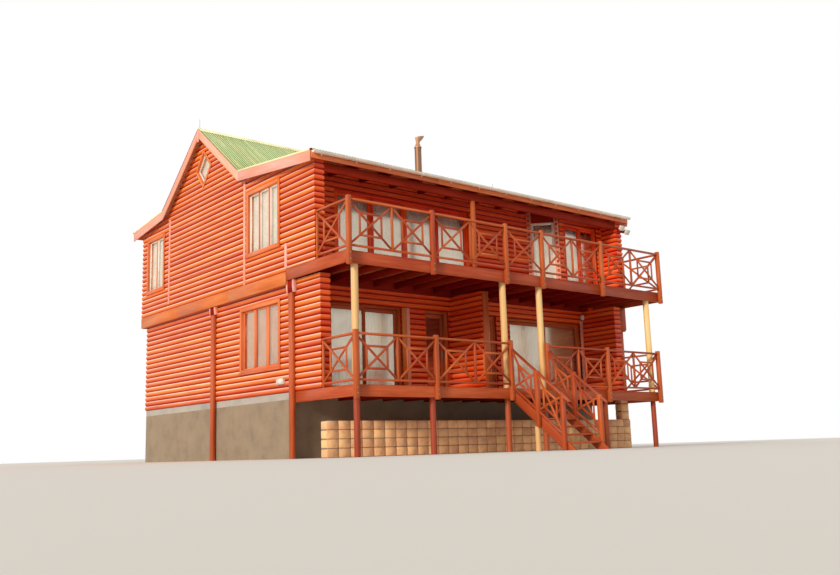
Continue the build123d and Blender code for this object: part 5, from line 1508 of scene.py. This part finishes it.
def door_set(pile, plane, width, height, depth, sill=0.0):
    """Jambs, head and sill of a door set, behind a plane."""
    half = door_frame / 2
    runs = [
        (half, 0, half, height),
        (width - half, 0, width - half, height),
        (door_frame, height - half, width - door_frame, height - half),
    ]
    boards_on(pile, plane, runs, door_frame, depth, -depth / 2, 0.005)
    if sill:
        runs = [(door_frame, sill / 2, width - door_frame, sill / 2)]
        boards_on(pile, plane, runs, sill, depth, -depth / 2, 0.005)


def leaf(pile, plane, low, high, bottom, top, rail, bars=(0, 0)):
    """Stiles, rails and glazing beads of a leaf, with a grid of glazing bars if it has one."""
    runs = [
        (low + stile / 2, bottom, low + stile / 2, top),
        (high - stile / 2, bottom, high - stile / 2, top),
        (low + stile, top - stile / 2, high - stile, top - stile / 2),
    ]
    middle = -leaf_thickness / 2
    boards_on(pile, plane, runs, stile, leaf_thickness, middle, 0.004)
    foot = bottom + rail / 2
    boards_on(pile, plane, [(low + stile, foot, high - stile, foot)], rail, leaf_thickness, middle, 0.004)
    inside = (low + stile, high - stile, bottom + rail, top - stile)
    for depth in (-0.011, -0.029):
        boards_on(pile, plane, ring_runs(*inside, 0.012), 0.012, 0.01, depth, 0.003)
    columns, rows = bars
    if columns:
        xs = np.linspace(inside[0], inside[1], columns + 1)[1:-1]
        zs = np.linspace(inside[2], inside[3], rows + 1)[1:-1]
        runs = [(x, inside[2], x, inside[3]) for x in xs]
        boards_on(pile, plane, runs, 0.026, 0.028, middle, 0.004)
        runs = [(inside[0], z, inside[1], z) for z in zs]
        boards_on(pile, plane, runs, 0.026, 0.0265, middle, 0.004)


class COTTAGE_OT_upper_doors(bpy.types.Operator):
    """Red four-leaf set, the pair of doors in the bay and its canted light"""

    bl_idname = "cottage.upper_doors"
    bl_label = "Balcony doors"

    def execute(self, context):
        red = "red_joinery"
        low, high = upper_doors
        width = high - low
        pile = Pile()
        door_set(pile, front_plank(low, door_y, balcony_top), width, upper_door_height, door_depth)
        leaves = front_plank(low, outer_leaf_y, balcony_top)
        edges = np.linspace(door_frame, width - door_frame, 5)
        for a, b in zip(edges, edges[1:]):
            leaf(pile, leaves, a + 0.001, b - 0.001, 0, upper_door_height - door_frame, upper_rail_height)
        plane = front_plank(bay_door[0], bay_door[1], balcony_top)
        door_set(pile, plane, bay_door[2], upper_door_height, 0.08)
        leaves = front_plank(bay_door[0], bay_door[1] + 0.015, balcony_top)
        half = bay_door[2] / 2
        top = upper_door_height - door_frame
        leaf(pile, leaves, door_frame, half - 0.001, 0, top, bay_rail_height)
        leaf(pile, leaves, half + 0.001, bay_door[2] - door_frame, 0, top, bay_rail_height, (2, 5))
        pile.object("balcony_door_joinery", "upper_door_wood", red, replaces=["upper_door_frames"])
        light, strips, ends = Pile(), Pile(), Pile()
        plane = plank_plane((bay_left, front_face, balcony_top), *cant)
        runs = ring_runs(0.13, cant_length - 0.13, 0.12, upper_door_height, door_frame)
        boards_on(light, plane, runs, door_frame, 0.055, -0.028, 0.004)
        light.object("bay_light_frame", "upper_door_wood", "sash_paint")
        course = context.scene.cottage.log_course
        z = course * (np.arange(18) + 0.5)
        for x in (0.066, cant_length - 0.066):
            boards_on(strips, plane, [(x, 0.001, x, 18.4 * course)], 0.124, 0.02, 0.006, 0.004)
            squares = np.stack([0 * z + x, z - 0.038, 0 * z + x, z + 0.038], 1)
            boards_on(ends, plane, squares, 0.06, 0.03, 0.012, 0.004)
        strips.object("bay_corner_boards", "trim", "trim_stain")
        ends.object("bay_log_ends", "logs", "rail_stain")
        return {"FINISHED"}


def slider_edges(width):
    """Inner edges of the jambs and the overlap of the two leaves, from the left jamb."""
    middle = width / 2
    return door_frame, middle + stile / 2, middle - stile / 2, width - door_frame


def rollers(pile, xs, y):
    """Steel rollers of a sliding leaf, on the sill."""
    centres = np.array([(x, y - 0.006, deck_top + door_sill + 0.0003 + 0.014) for x in xs])
    round_bars(pile, centres, centres + BACK * 0.012, 0.014, 20, 0.002)


def pull(pile, x, y, z, side=-1):
    """A plate with its grip, on the garden side (-1) or the room side (1) of a leaf."""
    boxes(pile, (x - 0.016, y + side * 0.0002, z - 0.09), (x + 0.016, y + side * 0.004, z + 0.09), 2, 0.0015)
    boxes(pile, (x - 0.006, y + side * 0.004, z - 0.06), (x + 0.006, y + side * 0.011, z + 0.06), 2, 0.002)


def hinge_knuckles(pile, heights, side):
    """Half knuckles and leaves of the garden door's hinges."""
    x = lower_openings[1][0] + door_frame + 0.003
    y = door_y + door_depth + 0.009 + 0.0003
    foot = np.array([(x, y, deck_top + h) for h in heights])
    round_bars(pile, foot, foot + UP * 0.045, 0.009, 16, 0.0015)
    low = np.array([(min(x, x + side * 0.04), y - 0.0085, deck_top + h + 0.001) for h in heights])
    high = low + [0.04, 0.0028, 0.043]
    boxes(pile, low, high, 2, 0.0005)


class COTTAGE_OT_lower_doors(bpy.types.Operator):
    """Brown sliding sets, the garden door with its hinges and the narrow light"""

    bl_idname = "cottage.lower_doors"
    bl_label = "Garden doors"

    def execute(self, context):
        brown = "brown_joinery"
        metal = "zinc_fitting"
        pile = Pile()
        sets = (lower_openings[0], lower_openings[3])
        for index, (low, high) in enumerate(sets):
            width = high - low
            plane = front_plank(low, door_y, deck_top)
            door_set(pile, plane, width, lower_door_height, door_depth, door_sill)
            edges = slider_edges(width)
            fixed = (edges[0], edges[1]) if index == 0 else (edges[2], edges[3])
            plane = front_plank(low, outer_leaf_y, deck_top)
            leaf(pile, plane, *fixed, door_sill, leaf_top, lower_rail_height)
        for low, high in lower_openings[1:3]:
            door_set(pile, front_plank(low, door_y, deck_top), high - low, lower_door_height, door_depth)
        low, high = lower_openings[2]
        leaf(
            pile, front_plank(low, outer_leaf_y, deck_top),
            door_frame, high - low - door_frame, 0, leaf_top, lower_rail_height,
        )
        pile.object("garden_door_sets", "lower_door_wood", brown, replaces=["lower_door_frames"])
        for index, (name, (low, high)) in enumerate(zip(("left_slider", "right_slider"), sets)):
            edges = slider_edges(high - low)
            span = (edges[2], edges[3] - leaf_gap) if index == 0 else (edges[0] + leaf_gap, edges[1])
            pile = Pile()
            plane = front_plank(low, inner_leaf_y, deck_top)
            foot, head = door_sill + leaf_gap, leaf_top - leaf_gap
            leaf(pile, plane, *span, foot, head, lower_rail_height)
            pile.object(f"{name}_leaf", "lower_door_wood", brown, name, replaces=[name])
            pile = Pile()
            rollers(pile, (low + span[0] + 2 * stile, low + span[1] - 2 * stile), inner_leaf_y + 0.02)
            grip = low + (span[1] - stile / 2 if index == 0 else span[0] + stile / 2)
            pull(pile, grip, inner_leaf_y + leaf_thickness, deck_top + 0.98, 1)
            low_corner = (grip - 0.014, inner_leaf_y - 0.0008, deck_top + 0.89)
            boxes(pile, low_corner, (grip + 0.014, inner_leaf_y, deck_top + 1.07), 2, 0.0003)
            pile.object(f"{name}_fittings", "lower_door_wood", metal, name, smooth=40)
        low, high = lower_openings[1]
        width = high - low
        plane = front_plank(low, door_y + 0.1, deck_top)
        pile = Pile()
        inset, head = door_frame + leaf_gap, leaf_top - leaf_gap
        leaf(pile, plane, inset, width - inset, leaf_gap, head, lower_rail_height)
        pile.object("garden_door_leaf", "lower_door_wood", brown, "garden_door", replaces=["garden_door"])
        pile = Pile()
        hinge_knuckles(pile, (0.2453, 0.9953, 1.7453), 1)
        pull(pile, high - inset - stile / 2, door_y + 0.1, deck_top + 1.0)
        pile.object("garden_door_fittings", "lower_door_wood", metal, "garden_door", smooth=40)
        pile = Pile()
        hinge_knuckles(pile, (0.2, 0.95, 1.7), -1)
        pile.object("garden_door_hinges", "lower_door_wood", metal, smooth=40)
        return {"FINISHED"}


def curtain(name, plane, low, high, bottom, top, depth, rods, look="white_cotton", pleat=0.11, swing=0.026):
    """A pleated curtain behind an opening.

    Formula: over a grid of the width and the drop, the cloth swings in and out as a sine of
    the width whose size grows from the gathered top to the hem, with a slower second sine
    that leans the folds. Its flat width is the length of that line halfway down.
    """
    across = max(24, int((high - low) / pleat * 9))
    s, t = np.meshgrid(np.linspace(0, 1, across), np.linspace(0, 1, 9))
    x = low + (high - low) * s
    phase = random.uniform(0, 2 * math.pi)
    turn = 2 * math.pi * x / pleat + phase
    grow = 0.55 + 0.45 * t
    sway = 0.35 * np.sin(2 * math.pi * x / (pleat * 3.7) + phase * 2)
    wave = swing * grow * np.sin(turn + sway + 0.3 * t)
    z = top + (bottom - top) * t
    origin, right, out = plane
    points = origin + x[..., None] * right + z[..., None] * UP + (wave - depth)[..., None] * out
    lengths = np.linalg.norm(np.diff(points, axis=1), axis=2).sum(axis=1)
    flat_width = float(np.mean((lengths[1:] + lengths[:-1]) / 2))
    flat = np.stack([s * flat_width, z, 0 * z], axis=-1)
    pile = Pile()
    pile.add(points, [grid_quads(*s.shape)[:, ::-1]], flat.reshape(-1, 3), random.uniform(0, 1))
    made = pile.object(name, None, look, smooth=80)
    solid = made.modifiers.new("cloth_gauge", "SOLIDIFY")
    solid.thickness = 0.001
    solid.offset = 0
    ends = laid(plane, [(low - 0.03, top + 0.004), (high + 0.03, top + 0.004)], -depth)
    round_bars(rods, ends[:1], ends[1:], 0.007, 10, 0.002)
    return made


class COTTAGE_OT_curtains(bpy.types.Operator):
    """Curtains behind the windows and the glazed doors, on their rods"""

    bl_idname = "cottage.curtains"
    bl_label = "Curtains"

    def execute(self, context):
        rods = Pile()
        for label, plane, width, height, _ in all_windows():
            half_w, half_h = width / 2 - 0.092, height / 2 - 0.096
            look = "gold_cotton" if label.endswith("t_lower") else "white_cotton"
            name = f"{label}_curtain"
            curtain(name, plane, -half_w, half_w, -half_h, half_h, 0.116, rods, look, 0.1, 0.021)
        low, high = upper_doors
        plane = front_plank(low, front_face + wall, balcony_top)
        edges = np.linspace(0.06, high - low - 0.06, 5)
        for index, (a, b) in enumerate(zip(edges, edges[1:])):
            name = f"balcony_curtain_{index + 1}"
            curtain(name, plane, a + 0.01, b - 0.01, 0.04, curtain_top, -0.03, rods, swing=0.017)
        plane = front_plank(bay_door[0], bay_door[1], balcony_top)
        curtain("bay_curtain", plane, 0.03, 0.72, 0.04, curtain_top, 0.115, rods)
        plane = plank_plane((bay_left, front_face, balcony_top), *cant)
        ends = (0.2, cant_length - 0.14)
        curtain("bay_light_curtain", plane, *ends, 0.1, curtain_top, 0.09, rods, pleat=0.09, swing=0.018)
        for side, (low, high) in (("left", lower_openings[0]), ("right", lower_openings[3])):
            plane = front_plank(low, front_face + wall, deck_top)
            middle = (high - low) / 2
            name = f"{side}_door_curtain"
            curtain(name, plane, 0.07, middle - 0.01, 0.05, curtain_top, -0.03, rods, swing=0.017)
            name, look, pleat, swing = (
                ("second_door_curtain", "white_cotton", 0.11, 0.017) if side == "left"
                else ("bamboo_blind", "bamboo", 0.4, 0.003)
            )
            ends = (middle + 0.01, high - low - 0.07)
            curtain(name, plane, *ends, 0.05, curtain_top, -0.03, rods, look, pleat, swing)
        rods.object("curtain_rods", None, "zinc_fitting", smooth=40)
        return {"FINISHED"}


class COTTAGE_OT_blocks(bpy.types.Operator):
    """Blocks of the retaining wall under the deck and of its pier, in stacked courses"""

    bl_idname = "cottage.blocks"
    bl_label = "Retaining blocks"

    def execute(self, context):
        joint = 0.014
        for name, node_name, courses in (
            ("retaining_blocks", "retaining_wall", 4),
            ("pier_blocks", "deck_pier", 3),
        ):
            low, high = (np.array(corner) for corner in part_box(node_name))
            count = round((high[0] - low[0]) / 0.3)
            size = (high - low) / (count, 1, courses)
            column, row = (part.ravel() for part in np.meshgrid(range(count), range(courses)))
            lows = low + np.stack([column, 0 * column, row], 1) * size + [joint / 2, 0, joint / 2]
            pile, core = Pile(), Pile()
            boxes(pile, lows, lows + size - [joint, 0, joint], 0, 0.012)
            boxes(core, low + [0.008, 0.02, 0.002], high - [0.008, 0.02, 0.008], 0, 0.002)
            pile.object(name, "blocks", "block_face", replaces=[node_name])
            core.object(f"{name}_joints", "blocks", "foundation_plaster")
        return {"FINISHED"}


class COTTAGE_OT_fittings(bpy.types.Operator):
    """Meter box on the left gable, the lamp by the sliding door and two at the right wing"""

    bl_idname = "cottage.fittings"
    bl_label = "Meter box and lamps"

    def execute(self, context):
        pile = Pile()
        x = lower_deck_left
        boxes(pile, (x - 0.07, 0.15, 1.6), (x + 0.01, 0.42, 1.72), 1, 0.008)
        boxes(pile, (x - 0.082, 0.17, 1.615), (x - 0.068, 0.4, 1.705), 1, 0.006)
        boxes(pile, (x - 0.079, 0.14, 1.717), (x + 0.005, 0.43, 1.729), 1, 0.003)
        pile.object("meter_box", None, "white_enamel")
        heads, arms = Pile(), Pile()
        x, y, z = lower_openings[3][1] + 0.06, front_crest - 0.05, door_head + 0.12
        round_bars(heads, (x, y, z), (x, y, z + 0.14), 0.055, 20, 0.012)
        boxes(arms, (x - 0.02, y + 0.03, z + 0.05), (x + 0.02, front_face, z + 0.09), 1, 0.003)
        y = wing_face - bulge
        for x, z in ((upper_right - 0.13, 6.09), (upper_right + 0.09, 6.0)):
            timbers(heads, (x, y - 0.17, z - 0.02), (x, y - 0.11, z + 0.02), RIGHT, 0.15, 0.12, 0.012)
            timbers(heads, (x, y - 0.185, z - 0.03), (x, y - 0.165, z - 0.017), RIGHT, 0.17, 0.14, 0.005)
            timbers(arms, (x, y - 0.12, z + 0.01), (x, y - 0.05, z + 0.05), RIGHT, 0.03, 0.03, 0.004)
        start = (upper_right - 0.15, y - 0.035, 6.05)
        timbers(arms, start, (upper_right + 0.12, y - 0.035, 6.05), UP, 0.14, 0.03, 0.004)
        boxes(arms, (upper_right - 0.15, y - 0.03, 6.0), (upper_right - 0.05, y + 0.005, 6.1), 0, 0.004)
        heads.object("wing_lamps", None, "white_enamel")
        arms.object("lamp_brackets", None, "soffit_stain_and_shade")
        return {"FINISHED"}


class COTTAGE_OT_materials(bpy.types.Operator):
    """Finishes of the construction nodes that stay in view"""

    bl_idname = "cottage.materials"
    bl_label = "Construction finishes"

    def execute(self, context):
        glass = finish("clear_glass")
        chosen = {
            "foundation": "foundation_plaster",
            "ground_floor": "floor_screed",
            "bay_walls": "shaded_boards",
            "upper_floor": "shaded_boards",
        }
        for name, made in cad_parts.items():
            if made.hide_render:
                continue
            if "glass" in name:
                material = glass
            elif name in chosen:
                material = finish(chosen[name])
            elif name.endswith(("lean", "pitch")):
                material = finish("floor_boards")
            else:
                material = finish("wall_stain_and_shade")
            made.data.materials.clear()
            made.data.materials.append(material)
        return {"FINISHED"}


# The photograph's camera: its place, its yaw, pitch and roll in degrees, and its focal length
camera_place = (-15.2416, -16.9127, 0.0936)
camera_turn = (39.562, 10.201, -1.790)
focal_pixels = 905.215
photo_width = 840
to_sun = (-0.94, -0.26, 0.32)


class COTTAGE_OT_stage(bpy.types.Operator):
    """Pale floor, soft low sun, even sky and the camera at the photograph's place"""

    bl_idname = "cottage.stage"
    bl_label = "Stage"

    def execute(self, context):
        scene = context.scene
        settings = scene.cottage
        scene.view_settings.view_transform = "Standard"
        size = 400.0
        mesh = bpy.data.meshes.new("stage_floor")
        mesh.from_pydata(
            [(-size, -size, 0), (size, -size, 0), (size, size, 0), (-size, size, 0)], [], [(0, 1, 2, 3)]
        )
        floor = bpy.data.objects.new("stage_floor", mesh)
        scene.collection.objects.link(floor)
        pale = shader("stage_floor", Base_Color=(0.88, 0.87, 0.85, 1), Roughness=0.9)[0]
        mesh.materials.append(pale)
        world = bpy.data.worlds.new("stage_world")
        scene.world = world
        world.use_nodes = True
        tree = world.node_tree
        sky = tree.nodes["Background"]
        sky.inputs["Color"].default_value = (1.0, 0.96, 0.9, 1)
        sky.inputs["Strength"].default_value = settings.sky_strength
        shown = node(tree, "ShaderNodeBackground", Color=(1, 1, 1, 1))
        path = node(tree, "ShaderNodeLightPath")
        seen = path.outputs["Is Camera Ray"]
        for ray in ("Is Glossy Ray", "Is Transmission Ray"):
            seen = math_node(tree, "MAXIMUM", seen, path.outputs[ray])
        mix = node(tree, "ShaderNodeMixShader", i0=seen, i1=sky.outputs[0], i2=shown.outputs[0])
        tree.links.new(mix.outputs[0], tree.nodes["World Output"].inputs["Surface"])
        light = bpy.data.lights.new("sun", "SUN")
        light.energy = settings.sun_strength
        light.angle = math.radians(10)
        light.color = (1.0, 0.88, 0.72)
        sun = bpy.data.objects.new("sun", light)
        scene.collection.objects.link(sun)
        sun.rotation_euler = Vector(to_sun).to_track_quat("Z", "Y").to_euler()
        yaw, pitch, roll = (math.radians(angle) for angle in camera_turn)
        ahead = Vector((math.sin(yaw) * math.cos(pitch), math.cos(yaw) * math.cos(pitch), math.sin(pitch)))
        level = Vector((math.cos(yaw), -math.sin(yaw), 0))
        rise = level.cross(ahead)
        right = level * math.cos(roll) + rise * math.sin(roll)
        up = rise * math.cos(roll) - level * math.sin(roll)
        data = bpy.data.cameras.new("camera")
        data.sensor_width = 36
        data.lens = focal_pixels * data.sensor_width / photo_width
        data.clip_end = 1000
        camera = bpy.data.objects.new("camera", data)
        scene.collection.objects.link(camera)
        rotation = Matrix((right, up, -ahead)).transposed().to_4x4()
        camera.matrix_world = Matrix.Translation(camera_place) @ rotation
        scene.camera = camera
        return {"FINISHED"}


def colour_of(name, description, default):
    """A colour that the user may change."""
    return FloatVectorProperty(
        name=name, description=description, default=default, min=0, max=1, subtype="COLOR",
    )


class CottageSettings(bpy.types.PropertyGroup):
    """Sizes, colours and light of the cottage's dressing"""

    log_course: FloatProperty(
        name="Log course", description="Height of one course of half logs",
        default=0.129, min=0.08, max=0.3, unit="LENGTH",
    )
    sun_strength: FloatProperty(name="Sun", description="Strength of the low sun", default=2.3, min=0, max=10)
    sky_strength: FloatProperty(
        name="Sky", description="Strength of the even sky light", default=0.53, min=0, max=5,
    )
    # Lit and shaded copies of the log stain: the sheltered one is partly a deeper stain and partly painted
    # warm light in shade.
    log_stain: colour_of("Log stain", "Stain of the half logs in the sun", (0.9, 0.2, 0.024))
    sheltered_and_shaded_stain: colour_of("Sheltered stain", "Stain of the logs under cover", (0.98, 0.115, 0.014))
    # Pale upper band of the logs: a painted highlight with some sun bleaching.
    highlight_and_bleach_stain: colour_of("Bleached stain", "Upper sides of the logs, bleached", (1.0, 0.74, 0.66))
    rail_stain: colour_of("Rail stain", "Balustrades, deck frames, posts and stair", (0.52, 0.1, 0.028))
    belt_stain: colour_of("Belt stain", "Belt boards and the board by the left slider", (0.76, 0.22, 0.055))
    trim_stain: colour_of("Trim stain", "Barge boards, battens, bay corners, strips", (0.98, 0.44, 0.33))
    deck_oil: colour_of("Deck oil", "Boards of the decks", (0.56, 0.16, 0.05))
    pole_pine: colour_of("Pole pine", "Round poles and the stair's props", (0.92, 0.6, 0.26))
    # Stain darkened as painted shade under the deck.
    post_stain_and_shade: colour_of("Post stain", "Short round posts under the deck", (0.4, 0.07, 0.025))
    # Stain darkened as painted shade on joists, rafters, beams, beam ends, lamp brackets and sheet undersides
    # under cover.
    soffit_stain_and_shade: colour_of("Soffit stain", "Joists, rafters, beams and undersides", (0.3, 0.016, 0.008))
    window_stain: colour_of("Window stain", "Casings, lower gable sashes and eave boards", (0.78, 0.2, 0.07))
    sash_paint: colour_of("Sash paint", "Other sashes, diamond panes and bay light", (0.98, 0.95, 0.88))
    red_joinery: colour_of("Red joinery", "Doors of the balcony", (0.94, 0.08, 0.018))
    brown_joinery: colour_of("Brown joinery", "Doors of the deck", (0.58, 0.13, 0.04))
    floor_oil: colour_of("Floor oil", "Roof boards under the sheets", (0.55, 0.28, 0.12))
    plaster: colour_of("Plaster", "Foundation walls and block joints", (0.3, 0.23, 0.16))
    # Block colour lifted to stand in for low sun under the deck: painted light.
    block: colour_of("Block", "Retaining blocks", (1.0, 0.58, 0.3))
    screed: colour_of("Screed", "Ground floor", (0.43, 0.4, 0.36))
    # Lighter crests are a painted highlight and greener valleys painted shade.
    lit_crest_green: colour_of("Crest green", "Crests of the roof sheets", (0.95, 0.95, 0.5))
    shaded_valley_green: colour_of("Valley green", "Valleys of the roof sheets", (0.2, 0.38, 0.1))
    ridge_green: colour_of("Ridge green", "Ridge capping and edge strips", (0.9, 0.92, 0.56))
    gutter_cream: colour_of("Gutter cream", "Gutters and brackets", (0.98, 0.92, 0.78))
    flue_brown: colour_of("Flue brown", "Flue", (0.28, 0.14, 0.08))
    cowl_brown: colour_of("Cowl brown", "Cowl of the flue", (0.5, 0.26, 0.16))
    zinc: colour_of("Zinc", "Bolts, hinges and rods", (0.42, 0.4, 0.38))
    enamel: colour_of("Enamel", "Meter box and lamps", (0.78, 0.75, 0.7))
    glass: colour_of("Glass", "Panes of windows and doors", (1.0, 0.91, 0.74))
    curtain_white: colour_of("White curtains", "All curtains but the gold ones", (1.0, 0.98, 0.92))
    curtain_gold: colour_of("Gold curtains", "Curtains of the lower gable windows", (0.66, 0.2, 0.02))
    bamboo: colour_of("Bamboo", "Blind of the right sliding door", (1.0, 0.82, 0.5))


operators = (
    COTTAGE_OT_logs, COTTAGE_OT_decks, COTTAGE_OT_balustrades, COTTAGE_OT_stair,
    COTTAGE_OT_trims, COTTAGE_OT_roof, COTTAGE_OT_windows, COTTAGE_OT_upper_doors,
    COTTAGE_OT_lower_doors, COTTAGE_OT_curtains, COTTAGE_OT_blocks, COTTAGE_OT_fittings,
    COTTAGE_OT_materials, COTTAGE_OT_stage,
)


class COTTAGE_PT_panel(bpy.types.Panel):
    """The pieces of the cottage in the sidebar"""

    bl_label = "Holiday cottage"
    bl_idname = "COTTAGE_PT_panel"
    bl_space_type = "VIEW_3D"
    bl_region_type = "UI"
    bl_category = "Cottage"

    def draw(self, context):
        column = self.layout.column()
        for name in CottageSettings.__annotations__:
            column.prop(context.scene.cottage, name)
        for operator in operators:
            column.operator(operator.bl_idname)


classes = (CottageSettings, *operators, COTTAGE_PT_panel)


def register():
    for cls in classes:
        bpy.utils.register_class(cls)
    bpy.types.Scene.cottage = PointerProperty(type=CottageSettings)


def unregister():
    del bpy.types.Scene.cottage
    for cls in reversed(classes):
        bpy.utils.unregister_class(cls)


def main():
    register()
    for operator in operators:
        getattr(bpy.ops.cottage, operator.bl_idname.split(".")[1])()


if __name__ == "__main__":
    main()
